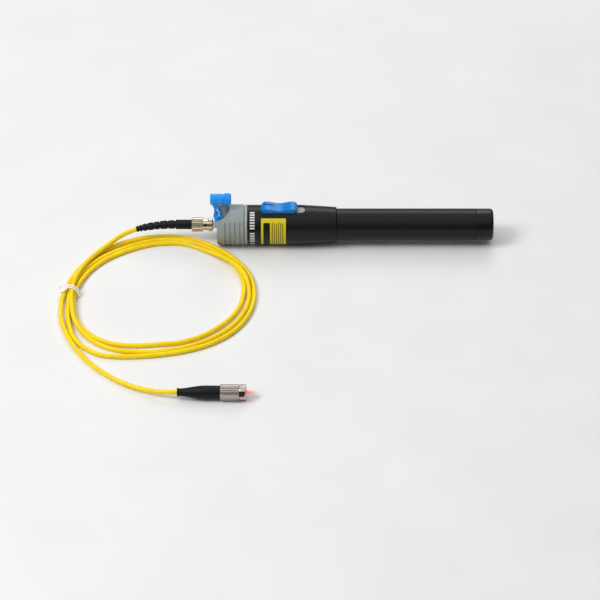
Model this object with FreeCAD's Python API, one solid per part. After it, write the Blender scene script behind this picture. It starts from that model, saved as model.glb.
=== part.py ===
"""Pen-type visual fault locator with its plugged-in fibre patch cord, modelled piece by piece.

Units are millimetres, +Z up.  The pen lies along X with its fibre port towards -X; the
origin is the point on the floor below the middle of the pen's own box.  Pieces on the pen
are first built about the X axis, at stations measured from the front of the head's hinge
ears, and are then carried to their place.  Each piece is written to parts/NAME.step.
"""
import math
import os

import FreeCAD
import Part

Vec = FreeCAD.Vector
ALONG_X = Vec(1, 0, 0)
ALONG_Y = Vec(0, 1, 0)
UP = Vec(0, 0, 1)
FAR = 200.0                      # reach of a cutting block that must pass right through

# ---------------------------------------------------------------- pen, lengths along its axis
HEAD_LENGTH = 19.5               # front of the ears to the back of the head
EAR_REACH = 2.4                  # how far the ears stand in front of the head's face
RING_WIDTH = 2.3                 # clamp ring between head and barrel
BARREL_LENGTH = 57.5             # front barrel, as it shows
TUBE_LENGTH = 89.7               # battery tube, as it shows
TAIL_CAP_LENGTH = 11.2
TAPER_LENGTH = 22.6              # back of the front barrel, narrowing to the tube
CELL_LENGTH = 50.1               # one AA cell with its nub
SPRING_LENGTH = 8.3              # tail spring, squeezed by the cells
THREAD_LENGTH = 6.0              # tail cap thread
THREAD_PITCH = 1.0

# ---------------------------------------------------------------- pen, radii and walls
HEAD_RADIUS = 13.0
HEAD_FRONT_RADIUS = 12.5
RING_RADIUS = 12.8
BARREL_RADIUS = 12.7
BARREL_END_RADIUS = 11.3
BARREL_WALL = 2.5
TUBE_RADIUS = 10.3
CELL_RADIUS = 7.1
CELL_PLAY = 0.5                  # all round a cell in its tube
TUBE_SPIGOT_WALL = 1.4           # battery tube's front end, inside the barrel
THREAD_WALL = 1.6                # battery tube's back end, inside the tail cap
TAIL_CAP_END_WALL = 4.2
TAIL_CAP_ROUND = 2.2
SLIP = 0.05                      # gap between faces that slide or turn on each other
THREAD_GAP = 0.1                 # flank to flank, drawn as two plain cylinders

# ---------------------------------------------------------------- head: scoop, grip and port
SCOOP_RADIUS = 9.2
SCOOP_CENTRE = 1.6               # station of the scoop's upright axis
SCOOP_FLOOR = 3.5                # height above the pen's axis
EAR_FOOT = 5.4                   # height above the axis where the ears begin
HEAD_EDGE = 1.0                  # rounding of the head's front edge
GRIP_GROOVES = 4
GRIP_PITCH = 3.2
GRIP_FIRST = 7.2
GRIP_WIDTH = 1.0
GRIP_DEPTH = 0.4
GRIP_HALF_GAP = 50.0             # degrees each side of the top that the grooves leave plain
PORT_REACH = 0.2                 # station of the port tube's open end
PORT_RADIUS = 2.5
PORT_WALL = 0.8
PORT_BORE = 1.4                  # mouth of the port, round the ferrule
SLEEVE_LENGTH = 10.5
SLEEVE_WALL = 0.4
SLEEVE_SLIT = 0.4

# ---------------------------------------------------------------- inside the pen
MODULE_RADIUS = 7.0              # laser module
MODULE_LENGTH = 19.6
DIODE_RADIUS = 2.8
DIODE_LENGTH = 4.2
BOARD_WIDTH = 16.0
BOARD_THICKNESS = 1.2
BOARD_HEIGHT = 1.1               # underside of the board above the axis
BOARD_MARGIN = 1.0               # bare board round each part on it
CARRIER_THICKNESS = 3.6          # insulating disc behind the board
CONTACT_RADIUS = 3.0
CONTACT_PROUD = 0.6

# ---------------------------------------------------------------- slide switch
SWITCH_START = 9.0               # from the barrel's front to the button's front
BUTTON_LENGTH = 23.3
BUTTON_WIDTH = 8.8
BUTTON_LOBE = 2.5                # height of its two lobes above the barrel
BUTTON_WAIST = 1.1               # height of its waist above the barrel
BUTTON_TRAVEL = 4.6
BUTTON_LIFT = 0.2                # running gap under the button
POCKET_WIDTH = 7.6
POCKET_DEPTH = 1.2               # barrel's top line to the plate's face
PLATE_THICKNESS = 0.8
STEM_LENGTH = 5.0
STEM_WIDTH = 2.6

# ---------------------------------------------------------------- dust cap
CAP_RADIUS = 3.6
CAP_LENGTH = 13.5
CAP_WALL = 1.0
CAP_OVERHANG = 1.9               # open cap's reach in front of the ears
CAP_HEIGHT = 20.6                # open cap's centre above the pen's axis
CAP_GRIP_LENGTH = 5.0
CAP_GRIP_RIBS = 12
PIVOT_STATION = 3.1
PIVOT_HEIGHT = 6.2               # above the pen's axis
KNUCKLE_RADIUS = 2.4
KNUCKLE_HALF = 3.2
TRUNNION_RADIUS = 1.1
TRUNNION_HALF = 9.8
STRAP_THICKNESS = 1.6

# ---------------------------------------------------------------- patch cord and its plugs
CORD_RADIUS = 1.5
FERRULE_RADIUS = 1.25
FERRULE_REACH = 4.0              # tip in front of the plug's nut
FERRULE_GAP = 0.02               # ferrule in the port's ceramic sleeve
NEAR_GAP = 0.3                   # nut's front to the front of the ears
NEAR_NUT_RADIUS = 4.7
NEAR_NUT_LENGTH = 13.7
NEAR_KNURL_LENGTH = 7.2
NEAR_BOOT_RADIUS = 3.1
NEAR_BOOT_PLAIN = 10.3           # smooth stretch of the near boot
FAR_NUT_RADIUS = 5.0
FAR_NUT_LENGTH = 16.0
FAR_KNURL_LENGTH = 11.7
FAR_BOOT_RADIUS = 4.1
FAR_BOOT_LENGTH = 26.1
KNURL_TEETH = 20
KNURL_DEPTH = 0.35
NUT_BORE = 3.0
NUT_LIP_BORE = 2.35              # the spring presses on this lip
NUT_LIP = (-2.6, -1.8)           # the lip, measured from the nut's front
NECK_DEPTH = 1.0                 # how far the near nut's neck lies below its knurl
NEAR_NECK_LENGTH = 3.2
NEAR_WINDOW = (2.8, 1.9)         # along the nut, and round it
NEAR_WINDOW_TURN = 62.0          # degrees from the top, towards the viewer's side
FAR_WINDOW = (3.0, 3.4)
FAR_WINDOW_TURN = 69.0
CORE_RADIUS = 2.2
CORE_SHOULDER = 2.9
CORE_TAIL = 4.0                  # crimp neck behind the nut, inside the boot
NUT_GAP = 0.1                    # nut to boot, so that the nut turns
PLUG_SPRING_WIRE = 0.4
PLUG_SPRING_TURNS = 4.0
FAR_FRONT = Vec(-65.4, -159.9, FAR_NUT_RADIUS)

# The near boot: a smooth stretch, then beads that shrink as the boot droops to a slope.
NEAR_BOOT_BEADS = (4.7, 5.2, 3.8, 4.3, 3.4, 2.2, 2.1)
NEAR_BEAD_RADII = (2.85, 2.75, 2.6, 2.5, 2.35, 2.15, 2.0)
NEAR_BOOT_SLOPE = 17.0
BEAD_GAP = 0.9

# Route of the cord where it isn't coiled: from inside the near boot's end into the coil ...
LEAD_IN = [(-137.8, 0.0, 9.5), (-146.2, -0.9, 7.2), (-155.6, -9.8, 5.3), (-162.8, -19.6, 4.6)]
# ... and from the coil to the far boot's end.
LEAD_OUT = [(-184.0, -66.0, 1.6), (-183.8, -84.0, 1.6), (-176.5, -106.5, 1.6), (-163.5, -128.0, 1.6),
            (-146.5, -144.5, 1.6), (-129.5, -154.5, 2.4), (-116.0, -159.9, 5.0), (-107.5, -159.9, 5.0)]
# The tied coil between two circles that aren't concentric, as its turns fan out away from the tie.
COIL_OUTER = (-123.3, -61.3, 61.0)
COIL_INNER = (-122.3, -58.5, 50.5)
COIL_HEIGHT = 6.0
COIL_EDGE = 1.5
TIE_Y = -57.5
TIE_WIDTH = 3.0
TIE_THICKNESS = 0.8
TIE_TAIL = 3.0

# ---------------------------------------------------------------- stations that follow
FACE = EAR_REACH
RING_START = HEAD_LENGTH
BARREL_START = RING_START + RING_WIDTH
TUBE_START = BARREL_START + BARREL_LENGTH
TAIL_CAP_START = TUBE_START + TUBE_LENGTH
PEN_END = TAIL_CAP_START + TAIL_CAP_LENGTH
TAPER_START = TUBE_START - TAPER_LENGTH
CAP_FLOOR = PEN_END - TAIL_CAP_END_WALL
DISC_THICKNESS = 0.8
DISC_START = CAP_FLOOR - SLIP - DISC_THICKNESS
CELLS_END = DISC_START - SPRING_LENGTH
CELLS_START = CELLS_END - 2 * CELL_LENGTH
TUBE_FRONT = CELLS_START - CONTACT_PROUD
CARRIER_START = TUBE_FRONT - CARRIER_THICKNESS
MODULE_START = SCOOP_CENTRE + SCOOP_RADIUS + 1.4
MODULE_END = MODULE_START + MODULE_LENGTH
SPIGOT_END = BARREL_START + 5.0
BUTTON_START = BARREL_START + SWITCH_START
BUTTON_END = BUTTON_START + BUTTON_LENGTH
BUTTON_MIDDLE = BUTTON_START + BUTTON_LENGTH / 2
POCKET_START = BUTTON_START + 0.4
POCKET_END = BUTTON_END + BUTTON_TRAVEL + 0.7

# ---------------------------------------------------------------- radii that follow
BARREL_BORE = BARREL_RADIUS - BARREL_WALL
TUBE_BORE = CELL_RADIUS + CELL_PLAY
TUBE_SPIGOT = TUBE_BORE + TUBE_SPIGOT_WALL
TAIL_SPIGOT = TUBE_BORE + THREAD_WALL
TAIL_CAP_BORE = TAIL_SPIGOT + THREAD_GAP
HEAD_SPIGOT = BARREL_BORE - SLIP
PLATE_TOP = BARREL_RADIUS - POCKET_DEPTH
POCKET_FLOOR = PLATE_TOP - PLATE_THICKNESS
SLEEVE_BORE = FERRULE_RADIUS + FERRULE_GAP
SLEEVE_RADIUS = SLEEVE_BORE + SLEEVE_WALL

# The pen's box runs from the open cap's front to the tail; its middle is X = 0.
AXIS_HEIGHT = max(HEAD_RADIUS, RING_RADIUS, BARREL_RADIUS, TUBE_RADIUS)
PEN_SHIFT = Vec(-(PEN_END - CAP_OVERHANG) / 2, 0, AXIS_HEIGHT)


# ---------------------------------------------------------------- helpers
def write(name, shape, shift=None):
    """Move one finished piece to its place, check it and write it to parts/NAME.step."""
    piece = shape.copy()
    if shift is not None:
        piece.translate(shift)
    piece = piece.removeSplitter()
    solids = piece.Solids
    if len(solids) != 1 or not piece.isValid():
        raise RuntimeError(f"{name}: {len(solids)} solids, valid {piece.isValid()}")
    solids[0].exportStep(f"parts/{name}.step")
    print(f"{name:20s} {solids[0].Volume:9.1f} mm3")


def turned(outline):
    """A solid of revolution about X; outline is a closed loop of (station, radius) points."""
    points = [Vec(x, 0, r) for x, r in outline]
    face = Part.Face(Part.makePolygon(points + points[:1]))
    return face.revolve(Vec(0, 0, 0), ALONG_X, 360)


def rod(radius, start, end):
    """A plain cylinder about X between two stations."""
    return Part.makeCylinder(radius, end - start, Vec(start, 0, 0), ALONG_X)


def ring(outer, inner, start, end):
    """A plain tube about X between two stations."""
    return rod(outer, start, end).cut(rod(inner, start - 1, end + 1))


def block(x0, x1, half_width, z0, z1):
    """A box between two stations and two heights, as wide on both sides of the axis."""
    return Part.makeBox(x1 - x0, 2 * half_width, z1 - z0, Vec(x0, -half_width, z0))


def stadium(x0, x1, width, z0, z1):
    """An upright plate with two round ends, between two stations and two heights."""
    r = width / 2
    middle = block(x0 + r, x1 - r, r, z0, z1)
    ends = [Part.makeCylinder(r, z1 - z0, Vec(x, 0, z0), UP) for x in (x0 + r, x1 - r)]
    return middle.fuse(ends)


def edges_on_circle(shape, radius, station):
    """The circular edges of a turned shape at one station and radius."""
    found = []
    for edge in shape.Edges:
        curve = edge.Curve
        round_edge = isinstance(curve, Part.Circle) and abs(curve.Radius - radius) < 1e-4
        if round_edge and abs(curve.Center.x - station) < 1e-4:
            found.append(edge)
    return found


def route_wire(points):
    """Straight runs joined by tangent arcs, each as large as its two runs allow."""
    pts = [Vec(*p) for p in points]
    edges = []
    radii = []
    start = pts[0]
    for before, corner, after in zip(pts, pts[1:], pts[2:]):
        come = (corner - before).normalize()
        go = (after - corner).normalize()
        half_turn = come.getAngle(go) / 2
        back = 0.45 * min((corner - before).Length, (after - corner).Length)
        radius = back / math.tan(half_turn)
        enter = corner - come * back
        leave = corner + go * back
        inward = (go - come).normalize()
        middle = corner + inward * (radius / math.cos(half_turn) - radius)
        edges.append(Part.LineSegment(start, enter).toShape())
        edges.append(Part.Arc(enter, middle, leave).toShape())
        radii.append(radius)
        start = leave
    edges.append(Part.LineSegment(start, pts[-1]).toShape())
    return Part.Wire(edges), radii


def cord_tube(name, points):
    """A round cord along a route; prints its bends and compares its volume with its length."""
    path, radii = route_wire(points)
    heading = Vec(*points[1]) - Vec(*points[0])
    section = Part.Wire(Part.makeCircle(CORD_RADIUS, Vec(*points[0]), heading))
    tube = path.makePipeShell([section], True, False)
    expected = math.pi * CORD_RADIUS ** 2 * path.Length
    bends = ", ".join(f"{r:.1f}" for r in radii)
    print(f"{name}: length {path.Length:.1f}, volume ratio {tube.Volume / expected:.4f}, bends {bends}")
    return tube


# ---------------------------------------------------------------- head
def head_shell():
    """Moulded head: a drum with hinge ears, the cap's scoop, grip grooves and the port's bore."""
    def drum(start):
        taper_end = GRIP_FIRST - GRIP_WIDTH
        body = turned([(start, 0), (start, HEAD_FRONT_RADIUS), (taper_end, HEAD_RADIUS),
                       (HEAD_LENGTH, HEAD_RADIUS), (HEAD_LENGTH, 0)])
        return body.makeFillet(HEAD_EDGE, edges_on_circle(body, HEAD_FRONT_RADIUS, start))

    above = block(-FAR, FAR, FAR, EAR_FOOT, FAR)
    shell = drum(FACE).fuse(drum(0).common(above))
    well = Part.makeCylinder(SCOOP_RADIUS, FAR, Vec(SCOOP_CENTRE, 0, SCOOP_FLOOR), UP)
    mouth = block(-FAR, SCOOP_CENTRE, SCOOP_RADIUS, SCOOP_FLOOR, FAR)
    shell = shell.cut(well.fuse(mouth))
    shell = shell.cut(grip_grooves())
    spigot = rod(HEAD_SPIGOT, HEAD_LENGTH, SPIGOT_END)
    shell = shell.fuse(spigot)
    shell = shell.cut([rod(PORT_RADIUS, 0, MODULE_START + 1),
                       rod(MODULE_RADIUS + SLIP, MODULE_START, SPIGOT_END + 1),
                       trunnion_rod(TRUNNION_RADIUS + SLIP, TRUNNION_HALF + SLIP)])
    return shell


def grip_grooves():
    """Shallow finger grooves round the sides and underside of the head, plain on top."""
    wedge_half = math.radians(GRIP_HALF_GAP)
    reach = 2 * HEAD_RADIUS
    corners = [Vec(0, 0, 0), Vec(0, -reach * math.sin(wedge_half), reach * math.cos(wedge_half)),
               Vec(0, reach * math.sin(wedge_half), reach * math.cos(wedge_half)), Vec(0, 0, 0)]
    plain = Part.Face(Part.makePolygon(corners)).extrude(Vec(HEAD_LENGTH, 0, 0))
    grooves = []
    for n in range(GRIP_GROOVES):
        start = GRIP_FIRST + n * GRIP_PITCH
        groove = ring(HEAD_RADIUS + 1, HEAD_RADIUS - GRIP_DEPTH, start, start + GRIP_WIDTH)
        grooves.append(groove.cut(plain))
    return Part.makeCompound(grooves)


def trunnion_rod(radius, half_length):
    """The line that the dust cap turns on, across the scoop."""
    start = Vec(PIVOT_STATION, -half_length, PIVOT_HEIGHT)
    return Part.makeCylinder(radius, 2 * half_length, start, ALONG_Y)


def clamp_ring():
    """Ring between head and barrel, with a shadow groove against the head."""
    groove = 0.5
    return turned([(RING_START, HEAD_SPIGOT + SLIP), (RING_START, RING_RADIUS - groove),
                   (RING_START + groove, RING_RADIUS - groove), (RING_START + groove, RING_RADIUS),
                   (BARREL_START, RING_RADIUS), (BARREL_START, HEAD_SPIGOT + SLIP)])


def port_tube():
    """Metal port pressed into the head; it carries the ceramic sleeve."""
    sleeve_seat = SLEEVE_RADIUS + SLIP
    return turned([(PORT_REACH, PORT_BORE), (PORT_REACH, PORT_RADIUS), (MODULE_START, PORT_RADIUS),
                   (MODULE_START, sleeve_seat), (PORT_REACH + PORT_WALL, sleeve_seat),
                   (PORT_REACH + PORT_WALL, PORT_BORE)])


def ceramic_sleeve():
    """Split alignment sleeve inside the port."""
    start = PORT_REACH + PORT_WALL
    sleeve = ring(SLEEVE_RADIUS, SLEEVE_BORE, start, start + SLEEVE_LENGTH)
    slit = block(start - 1, start + SLEEVE_LENGTH + 1, SLEEVE_SLIT / 2, 0, PORT_RADIUS)
    return sleeve.cut(slit)


# ---------------------------------------------------------------- barrel, tube and tail cap
def front_barrel():
    """Front barrel: straight, then tapered to the tube, with the switch pocket on top."""
    end_round = 1.0
    bore_step = CARRIER_START - 1.0
    barrel = turned([(BARREL_START, BARREL_BORE), (BARREL_START, BARREL_RADIUS),
                     (TAPER_START, BARREL_RADIUS), (TUBE_START, BARREL_END_RADIUS),
                     (TUBE_START, TUBE_SPIGOT + SLIP), (bore_step, TUBE_SPIGOT + SLIP),
                     (bore_step, BARREL_BORE)])
    barrel = barrel.makeFillet(end_round * 0.9, edges_on_circle(barrel, BARREL_END_RADIUS, TUBE_START))
    pocket = stadium(POCKET_START, POCKET_END, POCKET_WIDTH, POCKET_FLOOR, BARREL_RADIUS + 1)
    return barrel.cut([pocket, stem_slot(0)])


def stem_slot(top_clearance):
    """Opening that the button's stem slides in, through the plate and the barrel's wall."""
    play = 0.2
    start = BUTTON_MIDDLE - STEM_LENGTH / 2 - play
    end = BUTTON_MIDDLE + STEM_LENGTH / 2 + BUTTON_TRAVEL + play
    return block(start, end, STEM_WIDTH / 2 + play, BARREL_BORE / 2, BARREL_RADIUS + top_clearance)


def switch_plate():
    """Pale plate lying in the pocket; the button slides over it."""
    plate = stadium(POCKET_START + SLIP, POCKET_END - SLIP, POCKET_WIDTH - 2 * SLIP,
                    POCKET_FLOOR, PLATE_TOP)
    return plate.cut(stem_slot(1))


def battery_tube():
    """Battery tube with a spigot in the barrel in front and a threaded end behind."""
    seal_start = TAIL_CAP_START + 0.8
    seal_end = seal_start + 0.8 + 2 * SLIP
    seal_floor = TAIL_SPIGOT - 0.8
    thread_end = TAIL_CAP_START + THREAD_LENGTH
    return turned([(TUBE_FRONT, TUBE_BORE), (TUBE_FRONT, TUBE_SPIGOT), (TUBE_START, TUBE_SPIGOT),
                   (TUBE_START, TUBE_RADIUS), (TAIL_CAP_START, TUBE_RADIUS),
                   (TAIL_CAP_START, TAIL_SPIGOT), (seal_start, TAIL_SPIGOT),
                   (seal_start, seal_floor), (seal_end, seal_floor), (seal_end, TAIL_SPIGOT),
                   (thread_end, TAIL_SPIGOT), (thread_end, TUBE_BORE)])


def tail_seal():
    """Sealing ring in the groove of the battery tube's threaded end."""
    start = TAIL_CAP_START + 0.8 + SLIP
    return ring(TAIL_SPIGOT + THREAD_GAP / 2, TAIL_SPIGOT - 0.8, start, start + 0.8)


def tail_cap():
    """Screw cap on the tail, rounded behind."""
    start = TAIL_CAP_START + SLIP
    cap = turned([(start, TAIL_CAP_BORE), (start, TUBE_RADIUS), (PEN_END, TUBE_RADIUS),
                  (PEN_END, 0), (CAP_FLOOR, 0), (CAP_FLOOR, TAIL_CAP_BORE)])
    return cap.makeFillet(TAIL_CAP_ROUND, edges_on_circle(cap, TUBE_RADIUS, PEN_END))


# ---------------------------------------------------------------- what the pen holds
def laser_module():
    """Turned housing with the beam's bore in front and the diode's seat behind."""
    seat = MODULE_START + MODULE_LENGTH / 2
    return turned([(MODULE_START, 1.0), (MODULE_START, MODULE_RADIUS), (MODULE_END, MODULE_RADIUS),
                   (MODULE_END, DIODE_RADIUS + SLIP), (seat, DIODE_RADIUS + SLIP), (seat, 1.0)])


def laser_diode():
    """Can of the laser diode on its flange, seated in the module."""
    seat = MODULE_START + MODULE_LENGTH / 2
    flange = 1.2
    return turned([(seat, 0), (seat, DIODE_RADIUS * 0.8), (seat + DIODE_LENGTH - flange, DIODE_RADIUS * 0.8),
                   (seat + DIODE_LENGTH - flange, DIODE_RADIUS), (seat + DIODE_LENGTH, DIODE_RADIUS),
                   (seat + DIODE_LENGTH, 0)])


SWITCH_BODY_HALF = 3.4
SWITCH_BODY_BOTTOM = BOARD_HEIGHT + BOARD_THICKNESS
SWITCH_BODY_TOP = SWITCH_BODY_BOTTOM + 4.6
SLIDER_LENGTH = 4.0
SWITCH_BODY_START = BUTTON_MIDDLE - SLIDER_LENGTH / 2 - 1.2
SWITCH_BODY_END = BUTTON_MIDDLE + SLIDER_LENGTH / 2 + BUTTON_TRAVEL + 1.2
POST_RADIUS = 0.8


def driver_board():
    """Driver board from the laser module to the contact carrier, with a chip and a choke on it."""
    top = BOARD_HEIGHT + BOARD_THICKNESS
    board = block(MODULE_END, CARRIER_START, BOARD_WIDTH / 2, BOARD_HEIGHT, top)
    part_start = MODULE_END + BOARD_MARGIN
    part_length = SWITCH_BODY_START - BOARD_MARGIN - part_start
    chip = Part.makeBox(part_length, BOARD_WIDTH / 3, 1.5, Vec(part_start, 1 - BOARD_WIDTH / 2, top))
    choke_at = Vec(part_start + part_length / 2, BOARD_WIDTH / 5, top)
    choke = Part.makeCylinder(part_length / 2, 3.0, choke_at, UP)
    return board.fuse([chip, choke])


def switch_body():
    """Metal can of the slide switch on the board, with a slot for its slider's post."""
    wall = 0.5
    start = SWITCH_BODY_START
    end = SWITCH_BODY_END
    can = block(start, end, SWITCH_BODY_HALF, SWITCH_BODY_BOTTOM, SWITCH_BODY_TOP)
    room = block(start + wall, end - wall, SWITCH_BODY_HALF - wall,
                 SWITCH_BODY_BOTTOM + wall, SWITCH_BODY_TOP - wall)
    slot = block(BUTTON_MIDDLE - POST_RADIUS - 0.3, BUTTON_MIDDLE + POST_RADIUS + BUTTON_TRAVEL + 0.3,
                 POST_RADIUS + 0.2, SWITCH_BODY_TOP - wall - 0.1, SWITCH_BODY_TOP + 1)
    return can.cut([room, slot])


def switch_slider():
    """Slider inside the switch; its post stands in the button's stem."""
    gap = 0.1
    shoe = block(BUTTON_MIDDLE - SLIDER_LENGTH / 2, BUTTON_MIDDLE + SLIDER_LENGTH / 2,
                 SWITCH_BODY_HALF - 0.5 - gap, SWITCH_BODY_BOTTOM + 0.5 + gap, SWITCH_BODY_TOP - 0.5 - gap)
    post_top = POCKET_FLOOR - 0.4
    post = Part.makeCylinder(POST_RADIUS, post_top - SWITCH_BODY_BOTTOM - 1,
                             Vec(BUTTON_MIDDLE, 0, SWITCH_BODY_BOTTOM + 1), UP)
    return shoe.fuse(post)


def slide_button():
    """Thumb button shaped like a saddle, with its guide rib and stem; it rides on the barrel."""
    seat = BARREL_RADIUS + BUTTON_LIFT
    foot = math.sqrt(seat ** 2 - (BUTTON_WIDTH / 2) ** 2)
    lobe = BARREL_RADIUS + BUTTON_LOBE
    waist = BARREL_RADIUS + BUTTON_WAIST
    run = BUTTON_LENGTH * 0.30
    dip = (lobe + waist) / 2
    shoulder = foot + (lobe - foot) * 0.5

    def end(x, inward):
        """From foot to lobe to dip at one end, as a line and two arcs."""
        low = Vec(x, 0, foot)
        side = Vec(x, 0, shoulder)
        top = Vec(x + inward * 3.4, 0, lobe)
        inner = Vec(x + inward * run, 0, dip)
        over = Vec(x + inward * (0.62 * run + 1.2), 0, lobe - 0.22)
        nose = Vec(x + inward * 1.1, 0, lobe - 0.5)
        return [Part.LineSegment(low, side).toShape(), Part.Arc(side, nose, top).toShape(),
                Part.Arc(top, over, inner).toShape()]

    front = end(BUTTON_START, 1)
    back = end(BUTTON_END, -1)
    hollow = Part.Arc(Vec(BUTTON_START + run, 0, dip), Vec(BUTTON_MIDDLE, 0, waist),
                      Vec(BUTTON_END - run, 0, dip)).toShape()
    base = Part.LineSegment(Vec(BUTTON_END, 0, foot), Vec(BUTTON_START, 0, foot)).toShape()
    outline = Part.Wire(Part.__sortEdges__(front + [hollow] + back + [base]))
    saddle = Part.Face(outline).extrude(Vec(0, BUTTON_WIDTH, 0))
    saddle.translate(Vec(0, -BUTTON_WIDTH / 2, 0))
    plan = block(BUTTON_START, BUTTON_END, BUTTON_WIDTH / 2, foot - 1, lobe + 1)
    plan = plan.makeFillet(2.4, [e for e in plan.Edges if abs(e.Vertexes[0].Z - e.Vertexes[1].Z) > 1])
    button = saddle.common(plan).cut(rod(seat, BUTTON_START - 1, BUTTON_END + 1))
    groove_start = BUTTON_START + 1.6
    groove = stadium(groove_start, groove_start + run, 0.9, lobe - 0.35, lobe + 1)
    rib = stadium(POCKET_START + 0.25, BUTTON_END - 0.4, POCKET_WIDTH - 0.3, PLATE_TOP + 0.1, seat + 0.1)
    rib_room = rod(seat + 0.3, BUTTON_START - 1, BUTTON_END + 1)
    stem = block(BUTTON_MIDDLE - STEM_LENGTH / 2, BUTTON_MIDDLE + STEM_LENGTH / 2, STEM_WIDTH / 2,
                 SWITCH_BODY_TOP + 0.4, seat)
    socket = Part.makeCylinder(POST_RADIUS + SLIP, POCKET_FLOOR - 0.3 - SWITCH_BODY_TOP,
                               Vec(BUTTON_MIDDLE, 0, SWITCH_BODY_TOP), UP)
    return button.cut(groove).fuse([rib.common(rib_room), stem]).cut(socket)


def contact_carrier():
    """Insulating disc that closes the battery tube and holds the positive contact."""
    seat = TUBE_FRONT - 1.2
    return turned([(CARRIER_START, 0), (CARRIER_START, TUBE_SPIGOT), (TUBE_FRONT, TUBE_SPIGOT),
                   (TUBE_FRONT, CONTACT_RADIUS), (seat, CONTACT_RADIUS), (seat, 0)])


def positive_contact():
    """Brass contact button in the carrier; the front cell's nub presses on it."""
    return rod(CONTACT_RADIUS, TUBE_FRONT - 1.2, CELLS_START)


def cell(start):
    """One AA cell, its positive nub towards the port."""
    nub_length = 1.1
    nub_radius = 2.7
    return turned([(start, 0), (start, nub_radius), (start + nub_length, nub_radius),
                   (start + nub_length, CELL_RADIUS), (start + CELL_LENGTH, CELL_RADIUS),
                   (start + CELL_LENGTH, 0)])


def spring_disc():
    """Contact disc at the floor of the tail cap."""
    return rod(TUBE_BORE - 0.4, DISC_START, DISC_START + DISC_THICKNESS)


def tail_spring():
    """Conical contact spring of flat wire, from the disc to the rear cell."""
    wire = 0.8
    turns = 3.0
    rise = SPRING_LENGTH - wire
    wide = CELL_RADIUS - 1.1
    narrow = wide / 2
    cone = math.degrees(math.atan((wide - narrow) / rise))
    helix = Part.makeHelix(rise / turns, rise, narrow, cone)
    section = Part.makePolygon([Vec(narrow - wire / 2, 0, -wire / 2), Vec(narrow + wire / 2, 0, -wire / 2),
                                Vec(narrow + wire / 2, 0, wire / 2), Vec(narrow - wire / 2, 0, wire / 2),
                                Vec(narrow - wire / 2, 0, -wire / 2)])
    spring = Part.Wire(helix.Edges).makePipeShell([section], True, True)
    spring.rotate(Vec(0, 0, 0), ALONG_Y, 90)
    spring.translate(Vec(CELLS_END + wire / 2, 0, 0))
    return spring


# ---------------------------------------------------------------- dust cap
def dust_cap():
    """Moulded dust cap: a cup with a ribbed grip, its strap, knuckle and two trunnions."""
    front = -CAP_OVERHANG
    back = front + CAP_LENGTH
    floor = back - CAP_GRIP_LENGTH + 1.0
    cup = rod(CAP_RADIUS, front, back)
    cup = cup.makeFillet(0.8, edges_on_circle(cup, CAP_RADIUS, back))
    ribs = [Part.makeCylinder(0.35, CAP_GRIP_LENGTH - 1, Vec(back - CAP_GRIP_LENGTH, 0, CAP_RADIUS), ALONG_X)
            for _ in range(CAP_GRIP_RIBS)]
    for n, rib in enumerate(ribs):
        rib.rotate(Vec(0, 0, 0), ALONG_X, 360.0 * n / CAP_GRIP_RIBS)
    cup = cup.fuse(ribs)
    cup.translate(Vec(0, 0, CAP_HEIGHT))
    room = rod(CAP_RADIUS - CAP_WALL, front - 1, floor)
    room.translate(Vec(0, 0, CAP_HEIGHT))
    strap_front = PIVOT_STATION - KNUCKLE_RADIUS
    strap_back = strap_front + STRAP_THICKNESS
    flare_foot = CAP_HEIGHT - CAP_RADIUS - 1.6
    strap = Part.Wire([
        Part.LineSegment(Vec(strap_front, 0, PIVOT_HEIGHT), Vec(strap_front, 0, flare_foot)).toShape(),
        Part.Arc(Vec(strap_front, 0, flare_foot), Vec(-0.45 * CAP_OVERHANG, 0, flare_foot + 2.4),
                 Vec(front, 0, CAP_HEIGHT)).toShape(),
        Part.LineSegment(Vec(front, 0, CAP_HEIGHT), Vec(strap_back + 1.6, 0, CAP_HEIGHT)).toShape(),
        Part.LineSegment(Vec(strap_back + 1.6, 0, CAP_HEIGHT),
                         Vec(strap_back + 1.6, 0, CAP_HEIGHT - CAP_RADIUS)).toShape(),
        Part.Arc(Vec(strap_back + 1.6, 0, CAP_HEIGHT - CAP_RADIUS),
                 Vec(strap_back + 0.45, 0, CAP_HEIGHT - CAP_RADIUS - 0.45),
                 Vec(strap_back, 0, CAP_HEIGHT - CAP_RADIUS - 1.6)).toShape(),
        Part.LineSegment(Vec(strap_back, 0, CAP_HEIGHT - CAP_RADIUS - 1.6),
                         Vec(strap_back, 0, PIVOT_HEIGHT)).toShape(),
        Part.LineSegment(Vec(strap_back, 0, PIVOT_HEIGHT), Vec(strap_front, 0, PIVOT_HEIGHT)).toShape()])
    web = Part.Face(strap).extrude(Vec(0, 2 * KNUCKLE_HALF - 1.2, 0))
    web.translate(Vec(0, -KNUCKLE_HALF + 0.6, 0))
    knuckle = trunnion_rod(KNUCKLE_RADIUS, KNUCKLE_HALF)
    return cup.fuse([web, knuckle, trunnion_rod(TRUNNION_RADIUS, TRUNNION_HALF)]).cut(room)


# ---------------------------------------------------------------- plugs on the cord
def knurled(body, radius, start, end):
    """Cut straight grip grooves all round one stretch of a nut."""
    grooves = []
    notch = KNURL_DEPTH * 1.6
    low = radius - KNURL_DEPTH
    high = radius + KNURL_DEPTH
    profile = Part.makePolygon([Vec(start - 1, 0, low), Vec(start - 1, notch, high),
                                Vec(start - 1, -notch, high), Vec(start - 1, 0, low)])
    for n in range(KNURL_TEETH):
        groove = Part.Face(profile).extrude(Vec(end - start + 1, 0, 0))
        groove.rotate(Vec(0, 0, 0), ALONG_X, 360.0 * (n + 0.5) / KNURL_TEETH)
        grooves.append(groove)
    return body.cut(Part.makeCompound(grooves))


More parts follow.
